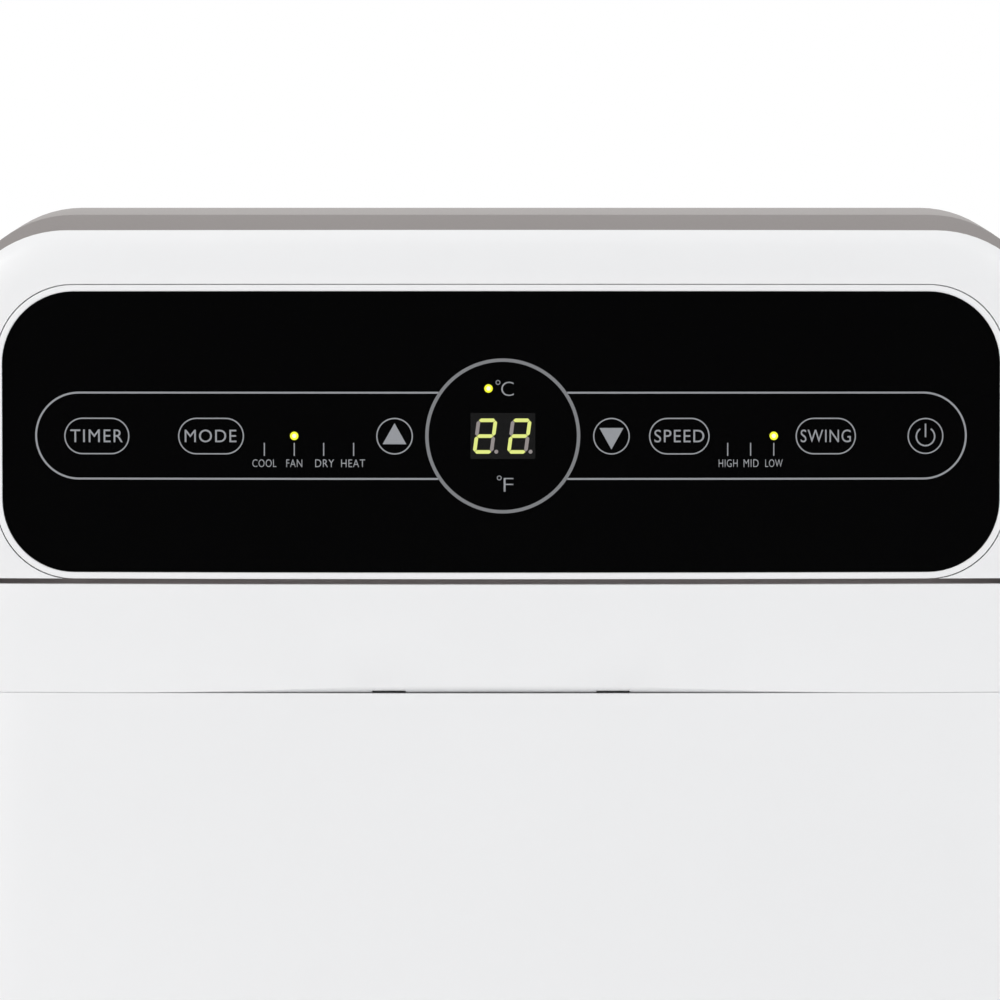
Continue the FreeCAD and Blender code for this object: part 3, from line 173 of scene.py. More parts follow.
def buildFloorScuff():
    # rubbed, dusty marks that fade out above the floor
    group, given, sink = startGroup("floorScuff", [("Vector", "Vector", None), ("Reach", "Float", 0.06),
                                                   ("Amount", "Float", 0.3)], [("Mask", "Float")])
    parts = addNode(group, "ShaderNodeSeparateXYZ", [(0, given["Vector"])])
    low = addNode(group, "ShaderNodeMapRange",
                  [("Value", parts.outputs["Z"]), ("From Min", given["Reach"]), ("From Max", 0.0)])
    cloud = addNode(group, "ShaderNodeTexNoise",
                    [("Vector", given["Vector"]), ("Scale", 140.0), ("Detail", 4.0), ("Roughness", 0.75)])
    patchy = addNode(group, "ShaderNodeMapRange",
                     [("Value", cloud.outputs["Fac"]), ("From Min", patterns["scuffPatch"][0]),
                      ("From Max", patterns["scuffPatch"][1])])
    joined = mathNode(group, "MULTIPLY", low.outputs[0], patchy.outputs[0])
    mask = mathNode(group, "MULTIPLY", joined, given["Amount"], use_clamp=True)
    group.links.new(mask, sink["Mask"])
    return group


def buildBrushedLines():
    # rolled or brushed metal: noise drawn out along one axis
    group, given, sink = startGroup("brushedLines",
                                    [("Vector", "Vector", None), ("Stretch", "Vector", (60, 60, 2200))],
                                    [("Height", "Float"), ("Shade", "Float")])
    drawn = addNode(group, "ShaderNodeVectorMath", [(0, given["Vector"]), (1, given["Stretch"])],
                    operation="MULTIPLY")
    cloud = addNode(group, "ShaderNodeTexNoise",
                    [("Vector", drawn.outputs[0]), ("Scale", 1.0), ("Detail", 4.0)])
    for label in ("Height", "Shade"):
        group.links.new(cloud.outputs["Fac"], sink[label])
    return group


groups = {"tone": buildToneDrift(), "grain": buildMouldedGrain(), "dust": buildSettledDust(),
          "scuff": buildFloorScuff(), "brush": buildBrushedLines()}
print("shader groups built")


# ---- finishes, one recipe for each record slot, a few for printed and lit pieces, and a grey with painted shade and a grey with painted light
recipes = {
    "white_shell": {"colour": (0.845, 0.848, 0.858), "rough": 0.30, "spread": 0.05, "drift": 0.008,
                    "grain": 1700, "relief": 0.012, "dust": 0.05},
    "grey_case": {"colour": (0.385, 0.357, 0.348), "rough": 0.44, "spread": 0.10, "drift": 0.03,
                  "grain": 1100, "relief": 0.10, "dust": 0.16},
    # painted shade: a darker copy of grey_case, put on the cover's forward-facing slope in place of its shade
    "paintedShadeStepGrey": {"colour": (0.275, 0.254, 0.248), "rough": 0.44, "spread": 0.10, "drift": 0.03,
                 "grain": 1100, "relief": 0.10, "dust": 0.10},
    # painted light: far lighter than the dark plastic behind the louver, so the shaded gap above the flap
    # reads as lit
    "paintedLightSealGrey": {"colour": (0.42, 0.37, 0.365), "rough": 0.70, "spread": 0.08, "drift": 0.03,
                 "grain": 900, "relief": 0.10},
    "dark_grey": {"colour": (0.060, 0.057, 0.056), "rough": 0.50, "spread": 0.12, "drift": 0.05,
                  "grain": 1000, "relief": 0.12, "dust": 0.2, "scuff": 0.35},
    "dark_plastic": {"colour": (0.020, 0.0195, 0.020), "rough": 0.46, "spread": 0.12, "drift": 0.06,
                     "grain": 1100, "relief": 0.10, "dust": 0.25, "scuff": 0.3},
    "black_glass": {"colour": (0.0012, 0.0012, 0.0013), "rough": 0.055, "spread": 0.02, "drift": 0.05,
                    "grain": 220, "relief": 0.004},
    "circuit_board": {"colour": (0.014, 0.095, 0.040), "rough": 0.35, "spread": 0.12, "drift": 0.10,
                      "grain": 420, "relief": 0.12, "dust": 0.15},
    "clear_guide": {"colour": (0.90, 0.90, 0.86), "rough": 0.10, "spread": 0.05, "drift": 0.02,
                    "grain": 500, "relief": 0.02, "clear": 1.0},
    "steel": {"colour": (0.55, 0.56, 0.57), "rough": 0.30, "spread": 0.14, "drift": 0.05, "metal": 1.0,
              "brush": (2600, 120, 120), "relief": 0.05},
    "galvanised": {"colour": (0.46, 0.47, 0.48), "rough": 0.42, "spread": 0.25, "drift": 0.12,
                   "metal": 0.9, "brush": (90, 40, 700), "relief": 0.04, "dust": 0.2},
    "motor_steel": {"colour": (0.12, 0.125, 0.135), "rough": 0.38, "spread": 0.12, "drift": 0.08,
                    "metal": 0.6, "grain": 700, "relief": 0.06, "dust": 0.2},
    "vane_plastic": {"colour": (0.075, 0.070, 0.070), "rough": 0.42, "spread": 0.10, "drift": 0.05,
                     "grain": 1200, "relief": 0.06, "dust": 0.12},
    "wheel_plastic": {"colour": (0.017, 0.017, 0.018), "rough": 0.62, "spread": 0.14, "drift": 0.10,
                      "grain": 800, "relief": 0.14, "scuff": 0.9},
    "filter_mesh": {"colour": (0.028, 0.029, 0.032), "rough": 0.60, "spread": 0.15, "drift": 0.08,
                    "grain": 900, "relief": 0.10, "dust": 0.25},
    "foam_white": {"colour": (0.74, 0.74, 0.72), "rough": 0.85, "spread": 0.08, "drift": 0.02,
                   "grain": 330, "relief": 0.5},
    "fins": {"colour": (0.78, 0.79, 0.80), "rough": 0.28, "spread": 0.18, "drift": 0.06, "metal": 1.0,
             "brush": (60, 60, 1500), "relief": 0.03},
    "copper": {"colour": (0.78, 0.36, 0.20), "rough": 0.30, "spread": 0.18, "drift": 0.16, "metal": 1.0,
               "grain": 260, "relief": 0.03},
    "black_steel": {"colour": (0.013, 0.013, 0.014), "rough": 0.30, "spread": 0.12, "drift": 0.10,
                    "grain": 420, "relief": 0.05, "dust": 0.3},
    "rubber_feet": {"colour": (0.016, 0.016, 0.016), "rough": 0.75, "spread": 0.10, "drift": 0.10,
                    "grain": 700, "relief": 0.2},
    "legendInk": {"colour": (0.290, 0.300, 0.320), "rough": 0.30, "spread": 0.06, "drift": 0.03,
                  "grain": 1800, "relief": 0.01},
    "ringInk": {"colour": (0.200, 0.205, 0.215), "rough": 0.30, "spread": 0.06, "drift": 0.03,
                "grain": 1800, "relief": 0.01},
    "smokedWindow": {"colour": (0.0105, 0.0105, 0.0105), "rough": 0.12, "spread": 0.04, "drift": 0.04,
                     "grain": 900, "relief": 0.01},
    "restingSegment": {"colour": (0.280, 0.250, 0.245), "rough": 0.40, "spread": 0.06, "drift": 0.05,
                       "grain": 900, "relief": 0.01},
    "litSegment": {"colour": (0.02, 0.02, 0.01), "rough": 0.4, "spread": 0.04, "drift": 0.02,
                   "grain": 900, "relief": 0.01, "glow": (0.730, 0.800, 0.222), "glowPower": 1.0},
    "litLamp": {"colour": (0.02, 0.02, 0.01), "rough": 0.4, "spread": 0.04, "drift": 0.02, "grain": 900,
                "relief": 0.01, "glow": (0.955, 0.975, 0.020), "glowPower": 1.0},
    "litLampCore": {"colour": (0.02, 0.02, 0.01), "rough": 0.4, "spread": 0.04, "drift": 0.02,
                    "grain": 900, "relief": 0.01, "glow": (0.99, 0.95, 0.76), "glowPower": 1.0},
    "paleFloor": {"colour": (0.90, 0.90, 0.90), "rough": 0.55, "spread": 0.05, "drift": 0.006,
                  "grain": 60, "relief": 0.02},
}
dustTint = (0.42, 0.40, 0.37, 1.0)
surface = {"speckleLow": 0.25, "speckleHigh": 0.75, "dulling": 0.5, "bumpDepth": 0.0006}
finishes = {}


def makeFinish(name):
    recipe = recipes[name]
    material = bpy.data.materials.new(name + "Finish")
    material.use_nodes = True
    tree = material.node_tree
    shader = tree.nodes["Principled BSDF"]
    place = addNode(tree, "ShaderNodeTexCoord").outputs["Object"]
    tone = addNode(tree, "ShaderNodeGroup", node_tree=groups["tone"])
    tree.links.new(place, tone.inputs["Vector"])
    tone.inputs["Color"].default_value = (*recipe["colour"], 1.0)
    tone.inputs["Amount"].default_value = recipe["drift"]
    colour = tone.outputs["Color"]
    if "brush" in recipe:
        texture = addNode(tree, "ShaderNodeGroup", node_tree=groups["brush"])
        texture.inputs["Stretch"].default_value = recipe["brush"]
        speckle = texture.outputs["Shade"]
    else:
        texture = addNode(tree, "ShaderNodeGroup", node_tree=groups["grain"])
        texture.inputs["Scale"].default_value = recipe["grain"]
        speckle = texture.outputs["Speckle"]
    tree.links.new(place, texture.inputs["Vector"])
    spread = recipe["spread"] / 2
    rough = addNode(tree, "ShaderNodeMapRange",
                    [("Value", speckle), ("From Min", surface["speckleLow"]),
                     ("From Max", surface["speckleHigh"]), ("To Min", recipe["rough"] - spread),
                     ("To Max", recipe["rough"] + spread)]).outputs[0]
    for key in ("dust", "scuff"):
        if key not in recipe:
            continue
        veil = addNode(tree, "ShaderNodeGroup", node_tree=groups[key])
        tree.links.new(place, veil.inputs["Vector"])
        veil.inputs["Amount"].default_value = recipe[key]
        mixed = addNode(tree, "ShaderNodeMix", data_type="RGBA")  # its colour sockets are 6 and 7, and 2 out
        tree.links.new(veil.outputs["Mask"], mixed.inputs[0])
        tree.links.new(colour, mixed.inputs[6])
        mixed.inputs[7].default_value = dustTint
        colour = mixed.outputs[2]
        rough = mathNode(tree, "MULTIPLY_ADD", veil.outputs["Mask"], surface["dulling"], rough)
    tree.links.new(colour, shader.inputs["Base Color"])
    tree.links.new(rough, shader.inputs["Roughness"])
    shader.inputs["Metallic"].default_value = recipe.get("metal", 0.0)
    if "clear" in recipe:
        shader.inputs["Transmission Weight"].default_value = recipe["clear"]
    if "glow" in recipe:
        shader.inputs["Emission Color"].default_value = (*recipe["glow"], 1.0)
        shader.inputs["Emission Strength"].default_value = recipe["glowPower"]
    bump = addNode(tree, "ShaderNodeBump",
                   [("Height", texture.outputs["Height"]), ("Strength", recipe["relief"]),
                    ("Distance", surface["bumpDepth"])])
    tree.links.new(bump.outputs["Normal"], shader.inputs["Normal"])
    return material


for slotName in recipes:
    finishes[slotName] = makeFinish(slotName)
for name, node in nodes.items():
    node.data.materials.clear()
    node.data.materials.append(finishes[slotOf[name]])
# the louver brackets stand this close behind the front bow, and are white like the front
bracketReach = 13.0 * mm
duct = nodes["outlet_duct"].data
duct.materials.append(finishes["white_shell"])
for face in duct.polygons:
    if face.center.y < cadBox[0][1] + bracketReach:
        face.material_index = 1
print("%d finishes made" % len(finishes))


# ---- pieces: how every new one joins the frame
def addPiece(name, mesh, body, slotName, finish=None):
    piece = bpy.data.objects.new(name, mesh)
    bpy.context.scene.collection.objects.link(piece)
    mesh.materials.clear()
    mesh.materials.append(finishes[finish or slotName])
    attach(piece, body)
    return piece


# ---- softened mouldings: merged copies with their sharp edges rolled over
softening = {
    "panel_bezel": 0.45, "front_upper_frame": 0.5, "front_lower_panel": 0.5, "louver_flap": 0.45,
    "top_cover": 0.6, "side_panel_left": 0.6, "side_panel_right": 0.6, "exhaust_collar": 0.5,
    "cord_hooks": 0.6, "cord_gland": 0.4, "base_tray": 0.6, "drain_cap": 0.5, "upper_grille": 0.25,
    "lower_grille": 0.25,
}
# mm and degrees; a fold gentler than the fold angle stays as it is
softRules = {"merge": 0.002, "flatAngle": 0.4, "foldAngle": 35, "smoothAngle": 28, "steps": 3, "profile": 0.5}


def softenNode(name, width):
    shape = bmesh.new()
    shape.from_mesh(nodes[name].data)
    bmesh.ops.remove_doubles(shape, verts=shape.verts[:], dist=softRules["merge"] * mm)
    bmesh.ops.dissolve_limit(shape, angle_limit=math.radians(softRules["flatAngle"]), verts=shape.verts[:],
                             edges=shape.edges[:])
    loose = sum(1 for edge in shape.edges if len(edge.link_faces) != 2)
    volumeBefore = shape.calc_volume()
    sharp = [edge for edge in shape.edges if len(edge.link_faces) == 2
             and edge.calc_face_angle(0.0) > math.radians(softRules["foldAngle"])]
    bmesh.ops.bevel(shape, geom=sharp, offset=width * mm, offset_type="OFFSET", segments=softRules["steps"],
                    profile=softRules["profile"], affect="EDGES", clamp_overlap=True)
    bmesh.ops.triangulate(shape, faces=[face for face in shape.faces if len(face.verts) > 4])
    volumeAfter = shape.calc_volume()
    mesh = bpy.data.meshes.new(name + "Soft")
    shape.to_mesh(mesh)
    shape.free()
    for face in mesh.polygons:
        face.use_smooth = True
    mesh.set_sharp_from_angle(angle=math.radians(softRules["smoothAngle"]))
    piece = addPiece(name + "Soft", mesh, body_of(nodes[name])[0], slotOf[name])
    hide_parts(name)
    print("softened %s: %d open edges, volume %.1f -> %.1f cm3, %d faces"
          % (name, loose, volumeBefore * 1e6, volumeAfter * 1e6, len(mesh.polygons)))


for name, width in softening.items():
    softenNode(name, width)

# painted shade: the cover's front slope gets a darker copy of the case grey, standing in for the shade that
# slope is in
coverStep = {"run": 6.5, "lean": 0.2}
cover = bpy.data.objects["top_coverSoft"].data
cover.materials.append(finishes["paintedShadeStepGrey"])
coverFront = min(vertex.co.y for vertex in cover.vertices)
for face in cover.polygons:
    if face.center.y < coverFront + coverStep["run"] * mm and face.normal.y < -coverStep["lean"]:
        face.material_index = 1


# ---- the bow of the front in plan; strips and printing follow it
frontBow = 2500.0  # radius, mm
frontY = cadBox[0][1] / mm


def sag(x):
    return frontBow - math.sqrt(frontBow ** 2 - x * x)


# ---- strips across the front: the seal behind the louver's upper edge and the sill under its lower one
stripPlan = {"reach": 208.0, "step": 8.0, "sealSet": (7.5, 8.9), "sealZ": (562.0, 568.45),
             "sillSet": (0.45, 2.7), "sillZ": (522.3, 522.62)}


def growStrip(name, setBack, zs, slotName, finish):
    # a bar with a rectangular section that follows the bow of the front
    count = int(2 * stripPlan["reach"] / stripPlan["step"])
    sheet = bmesh.new()
    sections = []
    for i in range(count + 1):
        x = -stripPlan["reach"] + 2 * stripPlan["reach"] * i / count
        face = frontY + sag(x)
        corners = ((setBack[0], zs[0]), (setBack[1], zs[0]), (setBack[1], zs[1]), (setBack[0], zs[1]))
        sections.append([sheet.verts.new(Vector((x, face + y, z)) * mm) for y, z in corners])
    for first, second in zip(sections, sections[1:]):
        for i in range(4):
            sheet.faces.new((first[i], first[(i + 1) % 4], second[(i + 1) % 4], second[i]))
    sheet.faces.new(sections[0])
    sheet.faces.new(sections[-1][::-1])
    bmesh.ops.recalc_face_normals(sheet, faces=sheet.faces[:])
    mesh = bpy.data.meshes.new(name)
    sheet.to_mesh(mesh)
    sheet.free()
    return addPiece(name, mesh, "cabinet", slotName, finish)


# the seal's finish is painted light: a light grey so the gap above the louver does not fall into shade
growStrip("louverSeal", stripPlan["sealSet"], stripPlan["sealZ"], "vane_plastic", "paintedLightSealGrey")
growStrip("louverSill", stripPlan["sillSet"], stripPlan["sillZ"], "white_shell", "white_shell")
print("front strips laid")


# ---- control panel: printed legends, lamps and the two-digit display
panelPlan = {"faceSet": 0.4, "ink": 0.03, "inkLift": 0.02, "digitLift": 0.08, "lampLift": 0.03,
             "coreLift": 0.09, "merge": 0.001}
stadium = {"half": 187.1, "low": 608.7, "high": 643.2, "line": 0.75}
ring = {"x": 0.7, "z": 625.9, "radius": 30.35, "line": 1.35}
words = [  # text, middle x, width, low z, high z, weight, letter spacing
    ("TIMER", -162.3, 21.2, 623.3, 628.4, 0.0, 1.14), ("MODE", -116.4, 20.8, 623.3, 628.4, 0.0, 1.12),
    ("SPEED", 71.4, 20.0, 623.3, 628.4, 0.0, 1.12), ("SWING", 130.2, 20.2, 623.3, 628.4, 0.0, 1.10),
    ("COOL", -94.8, 9.6, 613.4, 616.5, -0.004, 1.08), ("FAN", -82.8, 6.4, 613.4, 616.5, -0.004, 1.08),
    ("DRY", -70.6, 7.6, 613.4, 616.5, -0.004, 1.08), ("HEAT", -59.2, 9.6, 613.4, 616.5, -0.004, 1.08),
    ("HIGH", 91.0, 7.6, 613.4, 616.5, -0.004, 1.10), ("MID", 100.2, 6.0, 613.4, 616.5, -0.004, 1.10),
    ("LOW", 109.4, 7.0, 613.4, 616.5, -0.004, 1.08), ("C", 2.6, 5.0, 641.9, 647.6, -0.016, 1.0),
    ("F", 3.0, 3.9, 603.6, 609.1, -0.016, 1.0)]
degreeMarks = {"spots": ((-1.2, 647.3), (-0.7, 609.1)), "radius": 0.80, "line": 0.30}
pills = [(-162.2, 26.3), (-116.2, 26.5), (71.4, 24.3), (130.2, 24.3)]
rounds = [(-42.6, 14.7), (44.2, 14.7), (170.4, 14.5)]
buttonRow = {"z": 625.8, "height": 14.7, "line": 0.50}
arrows = [((-47.4, 622.6), (-37.9, 622.6), (-42.6, 631.0)), ((39.4, 629.1), (49.0, 629.1), (44.2, 620.5))]
powerSign = {"x": 170.4, "z": 625.6, "radius": 3.7, "start": 125, "end": 415, "line": 0.6,
             "bar": (625.3, 630.7)}
ticks = {"xs": (-94.8, -82.8, -71.0, -59.0, 90.8, 100.0, 109.3), "low": 617.9, "high": 623.1, "line": 0.45}
lamps = {"spots": ((-82.8, 625.9), (109.3, 625.9), (-5.0, 644.9)), "radius": 1.7, "core": 0.85}
display = {"window": (-12.2, 13.7, 616.7, 635.1), "firstX": -11.4, "pitch": 13.7, "width": 8.2, "low": 618.8,
           "high": 632.9, "bar": 1.45, "gap": 0.10, "slant": 7.5, "lit": "abged", "resting": "cf",
           "point": 0.8, "pointGap": 1.3}


def arcPoints(x, z, radius, start, end, count):
    turns = [math.radians(start + (end - start) * i / count) for i in range(count + 1)]
    return [(x + radius * math.cos(turn), z + radius * math.sin(turn)) for turn in turns]


def circlePoints(x, z, radius, count):
    return arcPoints(x, z, radius, 0, 360 * (count - 1) / count, count - 1)


def linePoints(first, last, step=6.0):
    count = max(1, int(math.dist(first, last) / step))
    return [(first[0] + (last[0] - first[0]) * i / count, first[1] + (last[1] - first[1]) * i / count)
            for i in range(count + 1)]


def addStroke(sheet, points, width, closed=False):
    count = len(points)
    rails = []
    for i, (x, z) in enumerate(points):
        before = points[i - 1] if closed or i else points[i]
        after = points[(i + 1) % count] if closed or i < count - 1 else points[i]
        run = Vector((after[0] - before[0], after[1] - before[1])).normalized() * (width / 2)
        rails.append((sheet.verts.new((x - run.y, 0, z + run.x)), sheet.verts.new((x + run.y, 0, z - run.x))))
    for i in range(count if closed else count - 1):
        a, b = rails[i], rails[(i + 1) % count]
        sheet.faces.new((a[0], a[1], b[1], b[0]))


def addPatch(sheet, points):
    sheet.faces.new([sheet.verts.new((x, 0, z)) for x, z in points])


def addPill(sheet, x, z, width, height, line):
    radius = height / 2
    reach = width / 2 - radius
    path = arcPoints(x + reach, z, radius, -90, 90, 20) + arcPoints(x - reach, z, radius, 90, 270, 20)
    addStroke(sheet, path, line, closed=True)


def addWords(sheet, text, middle, width, low, high, weight, spacing):
    curve = bpy.data.curves.new("wordCurve", "FONT")
    curve.body = text
    curve.offset = weight
    curve.space_character = spacing
    curve.resolution_u = 5
    holder = bpy.data.objects.new("wordHolder", curve)
    bpy.context.scene.collection.objects.link(holder)
    flat = bpy.data.meshes.new_from_object(holder.evaluated_get(bpy.context.evaluated_depsgraph_get()))
    bpy.data.objects.remove(holder)
    corners = [vertex.co.copy() for vertex in flat.vertices]
    xs, zs = [c.x for c in corners], [c.y for c in corners]
    across = width / (max(xs) - min(xs))
    up = (high - low) / (max(zs) - min(zs))
    for vertex in flat.vertices:
        vertex.co = (middle + (vertex.co.x - (max(xs) + min(xs)) / 2) * across, 0,
                     low + (vertex.co.y - min(zs)) * up)
    sheet.from_mesh(flat)
    bpy.data.meshes.remove(flat)


def seatOnGlass(name, sheet, lift, finish):
    # gives the flat print its thickness and lays it on the bowed glass
    bmesh.ops.remove_doubles(sheet, verts=sheet.verts[:], dist=panelPlan["merge"])
    grown = bmesh.ops.extrude_face_region(sheet, geom=sheet.faces[:], use_keep_orig=True)
    for item in grown["geom"]:
        if isinstance(item, bmesh.types.BMVert):
            item.co.y -= panelPlan["ink"]
    glassY = frontY + panelPlan["faceSet"]
    for vertex in sheet.verts:
        vertex.co = Vector((vertex.co.x, glassY + sag(vertex.co.x) - lift + vertex.co.y, vertex.co.z)) * mm
    bmesh.ops.recalc_face_normals(sheet, faces=sheet.faces[:])
    mesh = bpy.data.meshes.new(name)
    sheet.to_mesh(mesh)
    sheet.free()
    return addPiece(name, mesh, "cabinet", "black_glass", finish)


def printLegends():
    sheet = bmesh.new()
    radius = (stadium["high"] - stadium["low"]) / 2
    middle = (stadium["high"] + stadium["low"]) / 2
    reach = stadium["half"] - stadium["line"] / 2 - radius
    for side in (-1, 1):
        cap = arcPoints(side * reach, middle, radius, 90, 90 - 180 * side, 40)
        inner = []
        for z in (stadium["high"], stadium["low"]):
            gap = math.sqrt((ring["radius"] + ring["line"] / 2) ** 2 - (z - ring["z"]) ** 2)
            inner.append((ring["x"] + side * gap, z))
        addStroke(sheet, linePoints(inner[0], (side * reach, stadium["high"]))[:-1] + cap
                  + linePoints((side * reach, stadium["low"]), inner[1])[1:], stadium["line"])
    for text in words:
        addWords(sheet, *text)
    for x, z in degreeMarks["spots"]:
        addStroke(sheet, circlePoints(x, z, degreeMarks["radius"], 24), degreeMarks["line"], closed=True)
    for x, width in pills:
        addPill(sheet, x, buttonRow["z"], width - buttonRow["line"], buttonRow["height"] - buttonRow["line"],
                buttonRow["line"])
    for x, width in rounds:
        reachOut = (width - buttonRow["line"]) / 2
        addStroke(sheet, circlePoints(x, buttonRow["z"], reachOut, 48), buttonRow["line"], closed=True)
    for x in ticks["xs"]:
        addStroke(sheet, [(x, ticks["low"]), (x, ticks["high"])], ticks["line"])
    for arrow in arrows:
        addPatch(sheet, arrow)
    addStroke(sheet, arcPoints(powerSign["x"], powerSign["z"], powerSign["radius"], powerSign["start"],
                               powerSign["end"], 40), powerSign["line"])
    addStroke(sheet, [(powerSign["x"], z) for z in powerSign["bar"]], powerSign["line"])
    seatOnGlass("panelLegends", sheet, panelPlan["inkLift"], "legendInk")
    sheet = bmesh.new()
    addStroke(sheet, circlePoints(ring["x"], ring["z"], ring["radius"], 96), ring["line"], closed=True)
    seatOnGlass("displayRing", sheet, panelPlan["inkLift"], "ringInk")


def segmentShapes(left):
    # the seven bars of one slanted digit
    low, high, gap = display["low"], display["high"], display["gap"]
    half = display["bar"] / 2
    right = left + display["width"]
    mid = (low + high) / 2

    def level(z):
        a, b = left + half + gap, right - half - gap
        return [(a, z), (a + half, z + half), (b - half, z + half),
                (b, z), (b - half, z - half), (a + half, z - half)]

    def upright(x, z0, z1):
        a, b = z0 + gap, z1 - gap
        return [(x, a), (x + half, a + half), (x + half, b - half),
                (x, b), (x - half, b - half), (x - half, a + half)]

    shapes = {"a": level(high - half), "g": level(mid), "d": level(low + half),
              "b": upright(right - half, mid, high - half), "f": upright(left + half, mid, high - half),
              "c": upright(right - half, low + half, mid), "e": upright(left + half, low + half, mid)}
    lean = math.tan(math.radians(display["slant"]))
    return {key: [(x + (z - low) * lean, z) for x, z in shape] for key, shape in shapes.items()}


def printDisplay():
    x0, x1, z0, z1 = display["window"]
    sheet = bmesh.new()
    addPatch(sheet, [(x0, z0), (x1, z0), (x1, z1), (x0, z1)])
    seatOnGlass("displayWindow", sheet, panelPlan["inkLift"], "smokedWindow")
    litSheet, restingSheet = bmesh.new(), bmesh.new()
    for digit in range(2):
        left = display["firstX"] + display["pitch"] * digit
        shapes = segmentShapes(left)
        for key in display["lit"]:
            addPatch(litSheet, shapes[key])
        for key in display["resting"]:
            addPatch(restingSheet, shapes[key])
        pointX = left + display["width"] + display["pointGap"]
        addPatch(restingSheet, circlePoints(pointX, display["low"] + display["point"], display["point"], 16))
    seatOnGlass("litDigits", litSheet, panelPlan["digitLift"], "litSegment")
    seatOnGlass("restingDigits", restingSheet, panelPlan["digitLift"], "restingSegment")
    for name, size, lift in (("litLamp", lamps["radius"], panelPlan["lampLift"]),
                             ("litLampCore", lamps["core"], panelPlan["coreLift"])):
        sheet = bmesh.new()
        for x, z in lamps["spots"]:
            addPatch(sheet, circlePoints(x, z, size, 24))
        seatOnGlass(name + "s", sheet, lift, name)


printLegends()
printDisplay()
print("control panel printed")


# ---- repeated details, grown by geometry nodes
def startTree(name, inputs):
    tree = bpy.data.node_groups.new(name, "GeometryNodeTree")
    tree.interface.new_socket(name="Geometry", in_out="INPUT", socket_type="NodeSocketGeometry")
    for label, kind in inputs:
        tree.interface.new_socket(name=label, in_out="INPUT", socket_type="NodeSocket" + kind)
    tree.interface.new_socket(name="Geometry", in_out="OUTPUT", socket_type="NodeSocketGeometry")
    return tree, tree.nodes.new("NodeGroupInput").outputs, tree.nodes.new("NodeGroupOutput").inputs


def finishTree(tree, shape, finish, sink):
    solid = addNode(tree, "GeometryNodeRealizeInstances", [("Geometry", shape)])
    dressed = addNode(tree, "GeometryNodeSetMaterial", [("Geometry", solid.outputs[0]), ("Material", finish)])
    tree.links.new(dressed.outputs[0], sink["Geometry"])
    return tree


def barShape(tree, size):
    return addNode(tree, "GeometryNodeMeshCube", [("Size", size)]).outputs[0]


def pointLine(tree, count, step, *extra):
    return addNode(tree, "GeometryNodeMeshLine", [("Count", count), ("Offset", step), *extra],
                   mode="OFFSET", count_mode="TOTAL").outputs[0]


def copyOnto(tree, points, shape, *extra):
    links = [("Points", points), ("Instance", shape), *extra]
    return addNode(tree, "GeometryNodeInstanceOnPoints", links).outputs[0]


def moveShape(tree, shape, label, value):
    return addNode(tree, "GeometryNodeTransform", [("Geometry", shape), (label, value)]).outputs[0]


def joinShapes(tree, shapes):
    both = addNode(tree, "GeometryNodeJoinGeometry")
    for shape in shapes:
        tree.links.new(shape, both.inputs[0])
    return both.outputs[0]


def buildRowTree():
    # equal bars in a straight row
    tree, given, sink = startTree("barRow", [("Count", "Int"), ("Start", "Vector"), ("Step", "Vector"),
                                             ("Bar Size", "Vector"), ("Finish", "Material")])
    line = pointLine(tree, given["Count"], given["Step"], ("Start Location", given["Start"]))
    rows = copyOnto(tree, line, barShape(tree, given["Bar Size"]))
    return finishTree(tree, rows, given["Finish"], sink)


def buildRingTree():
    # bars round an axis, each turned to point outwards
    tree, given, sink = startTree("barRing",
                                  [("Count", "Int"), ("Radius", "Float"), ("Bar Size", "Vector"),
                                   ("Axis Turn", "Vector"), ("Centre", "Vector"), ("Finish", "Material")])
    circle = addNode(tree, "GeometryNodeMeshCircle",
                     [("Vertices", given["Count"]), ("Radius", given["Radius"])])
    spot = addNode(tree, "GeometryNodeInputPosition")
    outward = addNode(tree, "FunctionNodeAlignEulerToVector", [("Vector", spot.outputs[0])], axis="X",
                      pivot_axis="Z")
    bar = barShape(tree, given["Bar Size"])
    around = copyOnto(tree, circle.outputs[0], bar, ("Rotation", outward.outputs[0]))
    turned = moveShape(tree, around, "Rotation", given["Axis Turn"])
    placed = moveShape(tree, turned, "Translation", given["Centre"])
    return finishTree(tree, placed, given["Finish"], sink)


def buildWeaveTree():
    # crossed threads: uprights and level threads, all from one corner
    tree, given, sink = startTree("threadWeave",
                                  [("Uprights", "Int"), ("Levels", "Int"), ("Corner", "Vector"),
                                   ("Upright Step", "Vector"), ("Level Step", "Vector"),
                                   ("Upright Size", "Vector"), ("Level Size", "Vector"),
                                   ("Finish", "Material")])
    sets = []
    for run in ("Upright", "Level"):
        size = given[run + " Size"]
        line = pointLine(tree, given[run + "s"], given[run + " Step"])
        threads = copyOnto(tree, line, barShape(tree, size))
        half = addNode(tree, "ShaderNodeVectorMath", [(0, size), (1, (0.5, 0.5, 0.5))], operation="MULTIPLY")
        sets.append(moveShape(tree, threads, "Translation", half.outputs[0]))
    placed = moveShape(tree, joinShapes(tree, sets), "Translation", given["Corner"])
    return finishTree(tree, placed, given["Finish"], sink)


